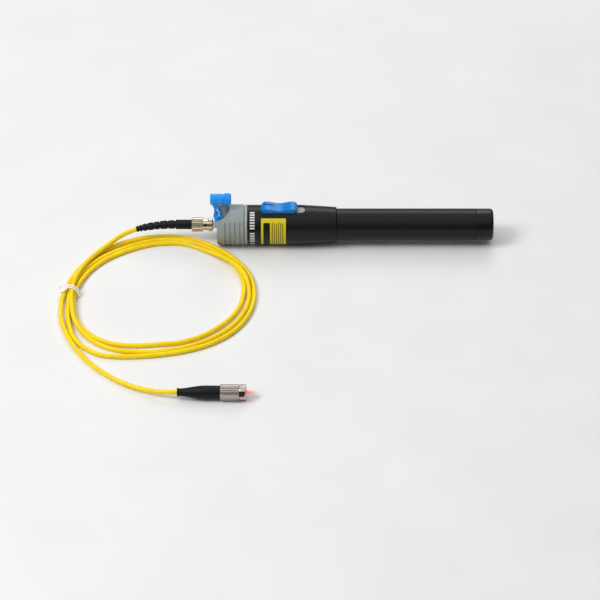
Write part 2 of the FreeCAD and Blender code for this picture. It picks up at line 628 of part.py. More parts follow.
def windows(size, middle, turn, rounded):
    """Two opposite openings for a nut; rounded ones have half-round ends."""
    length, width = size
    reach = 2 * FAR_NUT_RADIUS
    opening = block(-length / 2, length / 2, width / 2, -reach, reach)
    if rounded:
        opening = stadium(-length / 2, length / 2, width, -reach, reach)
    opening.translate(Vec(middle, 0, 0))
    opening.rotate(Vec(0, 0, 0), ALONG_X, turn)
    return opening


def bored(outline, length):
    """A nut's outline closed by its bore and the lip that its spring presses on."""
    lip_back, lip_front = NUT_LIP
    return turned([(-length, NUT_BORE)] + outline + [
        (0, NUT_BORE), (lip_front, NUT_BORE), (lip_front, NUT_LIP_BORE),
        (lip_back, NUT_LIP_BORE), (lip_back, NUT_BORE)])


def near_nut():
    """Bayonet nut of the plug in the port: knurled behind, waisted, with a rounded rim."""
    r = NEAR_NUT_RADIUS
    neck = r - NECK_DEPTH
    back = -NEAR_NUT_LENGTH
    knurl_end = back + NEAR_KNURL_LENGTH
    rim = knurl_end + NEAR_NECK_LENGTH
    nut = bored([(back, r - 0.3), (back + 0.3, r), (knurl_end, r), (knurl_end, neck), (rim, neck),
                 (rim + 0.5, r - 0.4), (-0.7, r - 0.4), (0, r - 0.9)], NEAR_NUT_LENGTH)
    nut = knurled(nut, r, back, knurl_end)
    return nut.cut(windows(NEAR_WINDOW, (knurl_end + rim) / 2, NEAR_WINDOW_TURN, True))


def far_nut():
    """Bayonet nut of the free plug: long knurl, a groove, and a plain rim with square windows."""
    r = FAR_NUT_RADIUS
    back = -FAR_NUT_LENGTH
    knurl_end = back + FAR_KNURL_LENGTH
    nut = bored([(back, r - 0.4), (back + 0.4, r), (knurl_end - 0.3, r), (knurl_end, r - 0.5),
                 (knurl_end + 0.4, r - 0.5), (knurl_end + 0.6, r - 0.15), (-0.4, r - 0.15),
                 (0, r - 0.55)], FAR_NUT_LENGTH)
    nut = knurled(nut, r, back, knurl_end - 0.3)
    return nut.cut(windows(FAR_WINDOW, (knurl_end + 0.4) / 2, FAR_WINDOW_TURN, False))


def plug_core(nut_length):
    """Metal body of a plug: ferrule holder, shoulder for the spring, crimp neck for the boot."""
    end = -nut_length - CORE_TAIL
    front = NUT_LIP[1] + 0.2
    shoulder = -8.0
    cord_stop = shoulder - 0.8
    return turned([(end, CORD_RADIUS), (end, CORE_RADIUS), (shoulder - 1.5, CORE_RADIUS),
                   (shoulder - 1.5, CORE_SHOULDER), (shoulder, CORE_SHOULDER), (shoulder, 1.8),
                   (front, 1.8), (front, FERRULE_RADIUS), (cord_stop, FERRULE_RADIUS),
                   (cord_stop, CORD_RADIUS)])


def ferrule():
    """Ceramic ferrule with a chamfered tip."""
    return turned([(-8.8, 0), (-8.8, FERRULE_RADIUS), (FERRULE_REACH - 0.4, FERRULE_RADIUS),
                   (FERRULE_REACH, FERRULE_RADIUS - 0.4), (FERRULE_REACH, 0)])


def plug_spring():
    """Coil spring between the core's shoulder and the nut's lip."""
    wire = PLUG_SPRING_WIRE
    start = -8.0
    rise = NUT_LIP[0] - start - wire
    radius = 2.5
    helix = Part.makeHelix(rise / PLUG_SPRING_TURNS, rise, radius)
    half = wire / 2
    section = Part.makePolygon([Vec(radius - half, 0, -half), Vec(radius + half, 0, -half),
                                Vec(radius + half, 0, half), Vec(radius - half, 0, half),
                                Vec(radius - half, 0, -half)])
    spring = Part.Wire(helix.Edges).makePipeShell([section], True, True)
    spring.rotate(Vec(0, 0, 0), ALONG_Y, 90)
    spring.translate(Vec(start + half, 0, 0))
    return spring


def near_boot():
    """Strain-relief boot: a smooth sleeve, then shrinking beads on a drooping spine."""
    start = -NEAR_NUT_LENGTH - NUT_GAP
    bend_start = start - NEAR_BOOT_PLAIN
    slope = math.radians(NEAR_BOOT_SLOPE)
    bend_radius = sum(NEAR_BOOT_BEADS) / slope
    pieces = [rod(NEAR_BOOT_RADIUS, bend_start, start)]
    run = 0.0
    for length, radius in zip(NEAR_BOOT_BEADS, NEAR_BEAD_RADII):
        middle = (run + length / 2) / bend_radius
        heading = Vec(-math.cos(middle), 0, -math.sin(middle))
        at = run / bend_radius
        foot = Vec(bend_start - bend_radius * math.sin(at), 0, bend_radius * (math.cos(at) - 1))
        spine = Part.makeCylinder(radius - 0.55, length + 0.3, foot - heading * 0.15, heading)
        bead_start = foot + heading * BEAD_GAP
        bead = Part.makeCone(radius, radius - 0.12, length - BEAD_GAP, bead_start, heading)
        pieces.extend([spine, bead])
        run += length
    boot = pieces[0].fuse(pieces[1:])
    return boot.cut(rod(CORE_RADIUS, -NEAR_NUT_LENGTH - CORE_TAIL, start + 1))


def far_boot():
    """Plain boot of the free plug, with a thin collar where the cord enters."""
    r = FAR_BOOT_RADIUS
    start = -FAR_NUT_LENGTH - NUT_GAP
    end = -FAR_NUT_LENGTH - FAR_BOOT_LENGTH
    collar = 2.25
    boot = turned([(start, 0), (start, r), (start - 12.5, r), (start - 16.0, r - 0.5),
                   (start - 20.5, collar), (end + 1.4, collar - 0.2), (end + 1.4, collar + 0.3),
                   (end, collar + 0.3), (end, 0)])
    return boot.cut(rod(CORE_RADIUS, -FAR_NUT_LENGTH - CORE_TAIL, start + 1))


# ---------------------------------------------------------------- cord
def chamfered_disc(centre_x, centre_y, radius, edge, z0, z1):
    """A flat disc whose rims are cut at 45 degrees by edge; a negative edge flares them."""
    outline = [Vec(0, 0, z0), Vec(radius - edge, 0, z0), Vec(radius, 0, z0 + abs(edge)),
               Vec(radius, 0, z1 - abs(edge)), Vec(radius - edge, 0, z1), Vec(0, 0, z1)]
    disc = Part.Face(Part.makePolygon(outline + outline[:1])).revolve(Vec(0, 0, 0), UP, 360)
    disc.translate(Vec(centre_x, centre_y, 0))
    return disc


def coil():
    """The tied turns of the cord, as the one solid ring that they fill."""
    outer = chamfered_disc(*COIL_OUTER, COIL_EDGE, 0, COIL_HEIGHT)
    inner = chamfered_disc(*COIL_INNER, -COIL_EDGE, 0, COIL_HEIGHT)
    return outer.cut(inner)


def twist_tie():
    """Tie round the coil at its narrow side, with its twisted tail outside."""
    left = COIL_OUTER[0] - COIL_OUTER[2] - 1.0
    right = COIL_INNER[0] - COIL_INNER[2] + 1.0
    y0 = TIE_Y - TIE_WIDTH / 2
    t = TIE_THICKNESS
    top = COIL_HEIGHT + 0.1 + t
    band = Part.makeBox(right - left + 2 * t, TIE_WIDTH, top - SLIP, Vec(left - t, y0, SLIP))
    room = Part.makeBox(right - left, TIE_WIDTH + 2, top - SLIP - 2 * t, Vec(left, y0 - 1, SLIP + t))
    tail = Part.makeBox(TIE_TAIL, TIE_WIDTH * 0.7, 1.3, Vec(left - t - TIE_TAIL + 0.2, y0 + 0.4, 2.0))
    return band.cut(room).fuse(tail)


# ---------------------------------------------------------------- build
def main():
    """Build every piece and write its STEP file."""
    os.makedirs("parts", exist_ok=True)
    on_pen = {
        "head_shell": head_shell(), "head_ring": clamp_ring(), "port_tube": port_tube(),
        "ceramic_sleeve": ceramic_sleeve(), "front_barrel": front_barrel(),
        "switch_plate": switch_plate(), "slide_button": slide_button(),
        "switch_body": switch_body(), "switch_slider": switch_slider(),
        "laser_module": laser_module(), "laser_diode": laser_diode(),
        "driver_board": driver_board(), "contact_carrier": contact_carrier(),
        "positive_contact": positive_contact(), "front_cell": cell(CELLS_START),
        "rear_cell": cell(CELLS_START + CELL_LENGTH), "battery_tube": battery_tube(),
        "tail_seal": tail_seal(), "tail_cap": tail_cap(), "tail_spring": tail_spring(),
        "spring_disc": spring_disc(), "dust_cap": dust_cap(),
    }
    for name, shape in on_pen.items():
        write(name, shape, PEN_SHIFT)
    near = PEN_SHIFT - ALONG_X * NEAR_GAP
    plugged = {
        "near_nut": near_nut(), "near_core": plug_core(NEAR_NUT_LENGTH), "near_ferrule": ferrule(),
        "near_spring": plug_spring(), "near_boot": near_boot(),
    }
    for name, shape in plugged.items():
        write(name, shape, near)
    free = {
        "far_nut": far_nut(), "far_core": plug_core(FAR_NUT_LENGTH), "far_ferrule": ferrule(),
        "far_spring": plug_spring(), "far_boot": far_boot(),
    }
    for name, shape in free.items():
        write(name, shape, FAR_FRONT)
    write("cord_lead_in", cord_tube("cord_lead_in", LEAD_IN))
    write("cord_lead_out", cord_tube("cord_lead_out", LEAD_OUT))
    write("cord_coil", coil())
    write("twist_tie", twist_tie())
    ends = [PEN_SHIFT.x - CAP_OVERHANG, PEN_SHIFT.x + PEN_END]
    print(f"pen from X {ends[0]:.2f} to {ends[1]:.2f}, axis at Z {PEN_SHIFT.z:.2f}")


main()
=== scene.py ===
"""Dressed model of a pen-type visual fault locator with its tied fibre patch cord.

Pieces on the pen are modelled in millimetres about the pen's axis, at stations measured
from the front of the head's hinge ears, and are carried to the shared frame at the end.
"""
import logging
import math
from abc import ABC, abstractmethod
from dataclasses import dataclass, field
from enum import Enum
from typing import Callable, Iterable, Sequence

import bmesh
import bpy
from mathutils import Matrix, Vector


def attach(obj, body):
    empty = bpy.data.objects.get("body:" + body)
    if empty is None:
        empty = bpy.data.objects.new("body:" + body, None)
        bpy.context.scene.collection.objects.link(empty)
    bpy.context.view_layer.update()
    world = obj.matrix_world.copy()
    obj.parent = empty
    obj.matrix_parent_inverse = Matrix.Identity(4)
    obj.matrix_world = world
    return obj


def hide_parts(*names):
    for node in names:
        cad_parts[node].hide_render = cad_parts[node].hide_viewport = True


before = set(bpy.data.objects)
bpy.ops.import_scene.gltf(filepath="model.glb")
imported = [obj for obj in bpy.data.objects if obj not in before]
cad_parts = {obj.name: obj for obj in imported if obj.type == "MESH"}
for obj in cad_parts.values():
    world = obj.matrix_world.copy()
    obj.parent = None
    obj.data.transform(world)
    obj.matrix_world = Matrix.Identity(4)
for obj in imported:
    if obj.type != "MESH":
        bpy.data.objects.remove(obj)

LOG = logging.getLogger("fault_locator")
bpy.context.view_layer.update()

MM = 0.001
CREASE = 42.0  # degrees; edges sharper than this stay crisp
SPECK = 0.001  # millimetres; anything smaller is dropped
WELD = 1e-4  # millimetres; points closer than this are one
PEN_AXIS = Vector((-89.15, 0.0, 13.0))
NEAR_PLUG = PEN_AXIS - Vector((0.3, 0.0, 0.0))
FAR_PLUG = Vector((-66.0, -159.9, 5.0))

Outline = Sequence[tuple[float, float]]
Point = tuple[float, float, float]


class Body(Enum):
    """Rigid bodies that the pieces ride on."""

    PEN = "pen"
    SWITCH = "switch"
    CAP = "cap"
    TAIL_INSERT = "tail_insert"
    TAIL = "tail"
    NEAR_BAYONET = "near_bayonet"
    FAR_BAYONET = "far_bayonet"


class Window(Enum):
    """Forms that a bayonet nut's two openings take."""

    OVAL = "oval"
    SQUARE = "square"


# ------------------------------------------------------------------ colour and shading


def linear(code: str) -> tuple[float, float, float, float]:
    """Turn an sRGB hex colour into a linear one.

    Args:
        code: Six hex digits after a hash sign.

    Returns:
        Red, green, blue and an alpha of 1.
    """
    parts = [int(code[i : i + 2], 16) / 255 for i in (1, 3, 5)]
    r, g, b = [p / 12.92 if p <= 0.04045 else ((p + 0.055) / 1.055) ** 2.4 for p in parts]
    return (r, g, b, 1.0)


def add_node(tree: bpy.types.NodeTree, kind: str, settings: dict | None = None,
             links: dict | None = None) -> bpy.types.Node:
    """Add one node with its settings and links.

    Args:
        tree: The node tree that takes it.
        kind: Blender's node type.
        settings: Attributes of the node, and values of its sockets under their names or numbers.
        links: Output sockets to join to the node's inputs, by name or number.

    Returns:
        The new node.
    """
    node = tree.nodes.new(kind)
    for key, value in (settings or {}).items():
        if isinstance(key, int) or key in node.inputs:
            node.inputs[key].default_value = value
        else:
            setattr(node, key, value)
    for key, socket in (links or {}).items():
        tree.links.new(socket, node.inputs[key])
    return node


class Graph:
    """Node graph of one material, ending in a Principled shader."""

    def __init__(self, name: str) -> None:
        """Start a material with an empty graph.

        Args:
            name: The material's name.
        """
        self.material = bpy.data.materials.new(name)
        self.material.use_nodes = True
        self.tree = self.material.node_tree
        self.tree.nodes.clear()
        self.shader = self.add("ShaderNodeBsdfPrincipled")
        self.add("ShaderNodeOutputMaterial", links={"Surface": self.shader.outputs[0]})
        self.place = self.add("ShaderNodeTexCoord").outputs["Object"]

    def add(self, kind: str, settings: dict | None = None, links: dict | None = None) -> bpy.types.Node:
        """Add one node to the material's own tree."""
        return add_node(self.tree, kind, settings, links)

    def set(self, **values: object) -> None:
        """Set the shader's own sockets; underscores stand for spaces."""
        for key, value in values.items():
            self.shader.inputs[key.replace("_", " ")].default_value = value

    def into(self, socket: str, source: bpy.types.NodeSocket) -> None:
        """Join a source to one of the shader's sockets."""
        self.tree.links.new(source, self.shader.inputs[socket])

    def grain(self, size_mm: float, detail: float = 3.0, stretch: Point = (1, 1, 1)) -> bpy.types.NodeSocket:
        """Noise whose spots are about size_mm across.

        Args:
            size_mm: Size of one spot.
            detail: Octaves of finer noise.
            stretch: Factors on the three coordinates; a small one draws the spots out along it.

        Returns:
            The noise's value.
        """
        turned = self.add("ShaderNodeMapping", {"Scale": stretch}, {"Vector": self.place})
        settings = {"Scale": 1 / (size_mm * MM), "Detail": detail, "Roughness": 0.55}
        noise = self.add("ShaderNodeTexNoise", settings, {"Vector": turned.outputs[0]})
        return noise.outputs[0]

    def ramp(self, source: bpy.types.NodeSocket, stops: Sequence[tuple[float, str]]) -> bpy.types.NodeSocket:
        """Colours spread over a value.

        Args:
            source: The value, from 0 to 1.
            stops: Positions with hex colours.

        Returns:
            The colour.
        """
        node = self.add("ShaderNodeValToRGB", links={"Fac": source})
        band = node.color_ramp
        while len(band.elements) < len(stops):
            band.elements.new(0.5)
        for element, (position, code) in zip(band.elements, stops):
            element.position = position
            element.color = linear(code)
        return node.outputs[0]

    def between(self, source: bpy.types.NodeSocket, low: float, high: float) -> bpy.types.NodeSocket:
        """Spread a value from its usual 0.3 to 0.7 over low to high."""
        settings = {"From Min": 0.3, "From Max": 0.7, "To Min": low, "To Max": high}
        return self.add("ShaderNodeMapRange", settings, {"Value": source}).outputs[0]

    def bump(self, height: bpy.types.NodeSocket, depth_mm: float) -> None:
        """Give the shader a relief.

        Args:
            height: Height from 0 to 1.
            depth_mm: Depth of the relief at height 1.
        """
        node = self.add("ShaderNodeBump", {"Distance": depth_mm * MM, "Strength": 1.0}, {"Height": height})
        self.into("Normal", node.outputs[0])

    def field(self, point: bpy.types.NodeSocket, centre: Point, half: Point,
              corner: float) -> bpy.types.NodeSocket:
        """A filled rectangle with round corners, on a flat pair of coordinates.

        Args:
            point: Coordinates in millimetres.
            centre: Middle of the rectangle.
            half: Half its sides.
            corner: Radius of its corners.

        Returns:
            1 inside and 0 outside.
        """
        away = self.add("ShaderNodeVectorMath", {"operation": "SUBTRACT", 1: centre}, {0: point})
        size = self.add("ShaderNodeVectorMath", {"operation": "ABSOLUTE"}, {0: away.outputs[0]})
        inner = (half[0] - corner, half[1] - corner, 1000.0)
        past = self.add("ShaderNodeVectorMath", {"operation": "SUBTRACT", 1: inner}, {0: size.outputs[0]})
        kept = self.add("ShaderNodeVectorMath", {"operation": "MAXIMUM", 1: (0, 0, 0)}, {0: past.outputs[0]})
        span = self.add("ShaderNodeVectorMath", {"operation": "LENGTH"}, {0: kept.outputs[0]})
        inside = self.add("ShaderNodeMath", {"operation": "LESS_THAN", 1: corner}, {0: span.outputs["Value"]})
        return inside.outputs[0]

    def paint(self, under: bpy.types.NodeSocket, mask: bpy.types.NodeSocket, code: str) -> bpy.types.NodeSocket:
        """Lay a flat colour over another where a mask is 1.

        Args:
            under: The colour below.
            mask: Where the new colour shows.
            code: The new colour's hex code.

        Returns:
            The mixed colour.
        """
        return self.add("ShaderNodeMix", {"data_type": "RGBA", 7: linear(code)}, {0: mask, 6: under}).outputs[2]


class Finish(ABC):
    """A surface finish that is made into a material once and shared."""

    made: dict[str, bpy.types.Material] = {}
    name: str

    @abstractmethod
    def shade(self, graph: Graph) -> None:
        """Fill the material's graph."""

    def material(self) -> bpy.types.Material:
        """The finish's material, made on its first use."""
        if self.name not in Finish.made:
            graph = Graph(self.name)
            self.shade(graph)
            Finish.made[self.name] = graph.material
        return Finish.made[self.name]


@dataclass(frozen=True)
class MouldedAbs(Finish):
    """ABS from a spark-eroded mould: a soft, even sheen broken by a fine grit."""

    name: str
    colour: str
    shade_colour: str
    grit_mm: float = 0.5
    grit_depth: float = 0.02
    gloss: float = 0.42
    shine: float = 0.5

    def shade(self, graph: Graph) -> None:
        """Cloudy tint over the whole moulding, and the mould's grit as relief."""
        # The real mould grit is too fine to show, so it is drawn coarser.
        cloud = graph.grain(7.0, 2.0)
        graph.into("Base Color", graph.ramp(cloud, [(0.25, self.shade_colour), (0.75, self.colour)]))
        grit = graph.grain(self.grit_mm, 2.0)
        graph.into("Roughness", graph.between(grit, self.gloss - 0.05, self.gloss + 0.07))
        graph.bump(grit, self.grit_depth)
        graph.set(IOR=1.54, Specular_IOR_Level=self.shine)


@dataclass(frozen=True)
class SoftPolypropylene(Finish):
    """Moulded polypropylene: waxy and a little see-through, so that edges and thin walls glow."""

    name: str
    colour: str
    shade_colour: str

    def shade(self, graph: Graph) -> None:
        """Flow marks from the mould, with light carried under the skin."""
        # The real moulded skin is too fine to show, so it is drawn coarser.
        flow = graph.grain(3.0, 2.0, (0.4, 1, 1))
        graph.into("Base Color", graph.ramp(flow, [(0.25, self.shade_colour), (0.75, self.colour)]))
        graph.into("Roughness", graph.between(graph.grain(0.6), 0.26, 0.38))
        graph.bump(graph.grain(0.8, 2.0), 0.012)
        graph.set(IOR=1.49, Specular_IOR_Level=0.4, Subsurface_Weight=0.2, Subsurface_Scale=1.0 * MM,
                  Subsurface_Radius=(0.3, 0.7, 1.0), Coat_Weight=0.15, Coat_Roughness=0.15)


@dataclass(frozen=True)
class AnodisedAluminium(Finish):
    """Bead-blasted, black anodised aluminium: dark, with a broad grey sheen along the light."""

    name: str
    colour: str
    sheen_colour: str
    roughness: float
    turned_mm: float = 0.0

    def shade(self, graph: Graph) -> None:
        """Blasted grain, and faint turning lines where the tube was cut."""
        # The real blasted grain and turning lines are too fine to show, so both are drawn coarser.
        cloud = graph.grain(5.0, 3.0, (0.35, 1, 1))
        graph.into("Base Color", graph.ramp(cloud, [(0.25, self.colour), (0.78, self.sheen_colour)]))
        grain = graph.grain(0.45, 2.0)
        graph.into("Roughness", graph.between(grain, self.roughness - 0.05, self.roughness + 0.08))
        height = grain
        if self.turned_mm:
            lines = graph.grain(self.turned_mm, 1.0, (1, 0.02, 0.02))
            height = graph.add("ShaderNodeMath", {"operation": "ADD"}, {0: grain, 1: lines}).outputs[0]
        graph.bump(height, 0.010)
        graph.set(Specular_IOR_Level=0.2, Coat_Weight=0.12, Coat_Roughness=0.14)


@dataclass(frozen=True)
class NickelPlate(Finish):
    """Nickel plate over turned brass: bright, faintly warm, with fine lathe rings."""

    name: str
    colour: str
    worn_colour: str
    roughness: float
    ring_mm: float = 0.35

    def shade(self, graph: Graph) -> None:
        """Lathe rings across the axis and a warm cast where the plate is thin."""
        # Real lathe rings are too fine to show, so they are drawn coarser.
        thin = graph.grain(2.5, 3.0)
        graph.into("Base Color", graph.ramp(thin, [(0.3, self.worn_colour), (0.7, self.colour)]))
        rings = graph.grain(self.ring_mm, 1.0, (1, 0.02, 0.02))
        graph.into("Roughness", graph.between(rings, self.roughness, self.roughness + 0.12))
        graph.bump(rings, 0.004)
        graph.set(Metallic=1.0)


@dataclass(frozen=True)
class Zirconia(Finish):
    """Ground and polished zirconia: milky white, glassy and slightly see-through."""

    name: str
    colour: str = "#F4F1EA"
    glow: str = "#000000"
    glow_strength: float = 0.0

    def shade(self, graph: Graph) -> None:
        """Milky depth with a faint grinding mark, and the laser's light where it is on."""
        milk = graph.grain(1.2, 2.0)
        graph.into("Base Color", graph.ramp(milk, [(0.3, "#ECE7DC"), (0.7, self.colour)]))
        graph.into("Roughness", graph.between(graph.grain(0.3, 1.0, (1, 0.05, 0.05)), 0.08, 0.16))
        graph.set(IOR=2.1, Subsurface_Weight=0.3, Subsurface_Scale=0.6 * MM, Coat_Weight=0.3,
                  Emission_Color=linear(self.glow), Emission_Strength=self.glow_strength)


@dataclass(frozen=True)
class PvcJacket(Finish):
    """Extruded PVC cord jacket: a satin skin with slow changes of gloss along its length."""

    name: str
    colour: str
    shade_colour: str

    def shade(self, graph: Graph) -> None:
        """Extrusion waves, and a little light carried through the jacket."""
        # The real skin's relief is too fine to show, so it is drawn coarser.
        wave = graph.grain(6.0, 2.0)
        graph.into("Base Color", graph.ramp(wave, [(0.25, self.shade_colour), (0.7, self.colour)]))
        graph.into("Roughness", graph.between(graph.grain(1.5), 0.32, 0.46))
        graph.bump(graph.grain(0.9, 2.0), 0.015)
        graph.set(IOR=1.53, Specular_IOR_Level=0.3, Subsurface_Weight=0.12, Subsurface_Scale=0.8 * MM,
                  Subsurface_Radius=(1.0, 0.9, 0.2))


@dataclass(frozen=True)
class MouldedRubber(Finish):
    """Moulded boot rubber: deep black with a dull bloom on the high spots."""

    name: str
    colour: str
    bloom_colour: str
    roughness: float = 0.5

    def shade(self, graph: Graph) -> None:
        """Bloom in patches and a dull skin."""
        # The real rubber's grit is too fine to show, so it is drawn coarser.
        bloom = graph.grain(2.2, 4.0)
        graph.into("Base Color", graph.ramp(bloom, [(0.35, self.colour), (0.8, self.bloom_colour)]))
        graph.into("Roughness", graph.between(bloom, self.roughness - 0.06, self.roughness + 0.1))
        graph.bump(graph.grain(0.4, 3.0), 0.012)
        graph.set(IOR=1.52, Specular_IOR_Level=0.22)


@dataclass(frozen=True)
class Metal(Finish):
    """Plain machined or drawn metal of the inner parts."""

    name: str
    colour: str
    dark_colour: str
    roughness: float

    def shade(self, graph: Graph) -> None:
        """Tarnish in patches and drawn lines."""
        # Real drawing lines are too fine to show, so they are drawn coarser.
        graph.into("Base Color", graph.ramp(graph.grain(1.8), [(0.3, self.dark_colour), (0.7, self.colour)]))
        lines = graph.grain(0.25, 1.0, (0.05, 1, 1))
        graph.into("Roughness", graph.between(lines, self.roughness, self.roughness + 0.12))
        graph.set(Metallic=1.0)


@dataclass(frozen=True)
class PrintedFilm(Finish):
    """Polyester label film, screen printed: a flat field with a blank bar and plain ruled lines."""

    name: str
    colour: str
    shade_colour: str
    ink: str
    rule_ink: str
    height: float
    margin: float = 1.2
    bar_top: float = 2.9
    bar_middle: float = 3.6
    bar_half: float = 2.15
    rules: int = 6
    rule_first: float = 7.2
    rule_pitch: float = 1.35
    rule_half: float = 0.38
    rule_top: float = 2.6

    def shade(self, graph: Graph) -> None:
        """Print laid out in millimetres on the label's own map."""
        place = graph.add("ShaderNodeUVMap", {"uv_map": "film"}).outputs[0]
        graph.place = place
        cloud = graph.add("ShaderNodeTexNoise", {"Scale": 0.35, "Detail": 2.0}, {"Vector": place}).outputs[0]
        colour = graph.ramp(cloud, [(0.3, self.shade_colour), (0.7, self.colour)])
        foot = self.height - self.margin
        span = (self.bar_top + foot) / 2
        bar = graph.field(place, (self.bar_middle, span, 0), (self.bar_half, foot - span, 1), 0.9)
        colour = graph.paint(colour, bar, self.ink)
        for n in range(self.rules):
            top = self.rule_top + 0.35 * (n % 3)
            low = foot - 0.8 * ((n * 2) % 3)
            x = self.rule_first + self.rule_pitch * n
            rule = graph.field(place, (x, (top + low) / 2, 0), (self.rule_half, (low - top) / 2, 1), 0.3)
            colour = graph.paint(colour, rule, self.rule_ink)
        graph.into("Base Color", colour)
        graph.set(Roughness=0.45, IOR=1.58, Specular_IOR_Level=0.25)


HEAD_ABS = MouldedAbs("head_abs_spark_eroded", "#A0A8A6", "#949B98", 0.55, 0.02, 0.46, 0.35)
RING_ABS = MouldedAbs("ring_abs_smooth", "#A9B0AE", "#9EA5A3", 0.5, 0.01, 0.38, 0.4)
PLATE_ABS = MouldedAbs("plate_abs_smooth", "#A2A59B", "#96998F", 0.5, 0.01, 0.4, 0.4)
SWITCH_ABS = MouldedAbs("switch_abs_satin", "#0783D6", "#0379CA", 0.5, 0.010, 0.28, 0.22)
CAP_PP = SoftPolypropylene("cap_polypropylene", "#1CA0FF", "#1494F8")
BARREL_ANODISED = AnodisedAluminium("barrel_anodised", "#0D0F12", "#14171A", 0.40)
TUBE_ANODISED = AnodisedAluminium("tube_anodised", "#0C0D10", "#121318", 0.43, 0.5)
TAIL_ANODISED = AnodisedAluminium("tail_anodised", "#0A0B0D", "#101114", 0.30)
NICKEL = NickelPlate("bright_nickel", "#DDD5CA", "#CFBF9F", 0.11)
SATIN_NICKEL = NickelPlate("satin_nickel", "#C9C0B9", "#BBB0A7", 0.30, 0.5)
CERAMIC = Zirconia("zirconia_ground")
LIT_CERAMIC = Zirconia("zirconia_lit_by_laser", "#F2A8A0", "#FF2A1E", 0.45)
JACKET = PvcJacket("pvc_jacket_yellow", "#FFE404", "#FFD400")
BOOT_RUBBER = MouldedRubber("boot_rubber", "#0A0B0E", "#121417")
SEAL_RUBBER = MouldedRubber("seal_rubber", "#0C0C0D", "#151517", 0.4)
TIE_PVC = PvcJacket("tie_pvc_white", "#FFFFFD", "#FBF8F4")
# Steel of the plugs' cores, given a dark colour as painted shade so that the nuts' windows read black.
WINDOW_SHADE_STEEL = Metal("steel_darkened_as_window_shade", "#33302E", "#211F1E", 0.4)
BRASS = Metal("turned_brass", "#C9A45A", "#A98544", 0.25)
STEEL = Metal("drawn_steel", "#B9B9B7", "#8F8F8D", 0.28)
SPRING_STEEL = Metal("spring_steel", "#A9A9A8", "#7C7C7C", 0.3)
CIRCUIT_BOARD = MouldedAbs("solder_mask_green", "#1D5A35", "#154A2A", 0.4, 0.01, 0.3)
INNER_BLACK = MouldedAbs("inner_black_abs", "#1A1A1B", "#141415", 0.5, 0.02, 0.5)
CELL_SLEEVE = MouldedAbs("cell_shrink_sleeve", "#2B2E36", "#22252C", 0.8, 0.01, 0.22)
WHITE_INK = MouldedAbs("screen_ink_white", "#F0F0EC", "#DCDCD6", 0.6, 0.004, 0.45)
LABEL_FILM = PrintedFilm("label_film_yellow", "#DED21A", "#D6C814", "#0A0A09", "#8C7C12", 25.0)

# ------------------------------------------------------------------ mesh work


def round_wire(name: str, points: Sequence[Point], radius: float, closed: bool,
               steps: tuple[int, int]) -> bpy.types.Curve:
    """One NURBS spline with a round section and filled ends.

    Args:
        name: The curve's name.
        points: Its control points.
        radius: Radius of the section.
        closed: Whether the line joins up.
        steps: Steps along each span, and round a quarter of the section.

    Returns:
        The curve.
    """
    curve = bpy.data.curves.new(name, "CURVE")
    curve.dimensions = "3D"
    curve.resolution_u, curve.bevel_resolution = steps
    curve.bevel_depth = radius
    curve.use_fill_caps = True
    spline = curve.splines.new("NURBS")
    spline.points.add(len(points) - 1)
    for knot, point in zip(spline.points, points):
        knot.co = (*point, 1.0)
    spline.order_u = 3
    spline.use_endpoint_u = not closed
    spline.use_cyclic_u = closed
    return curve


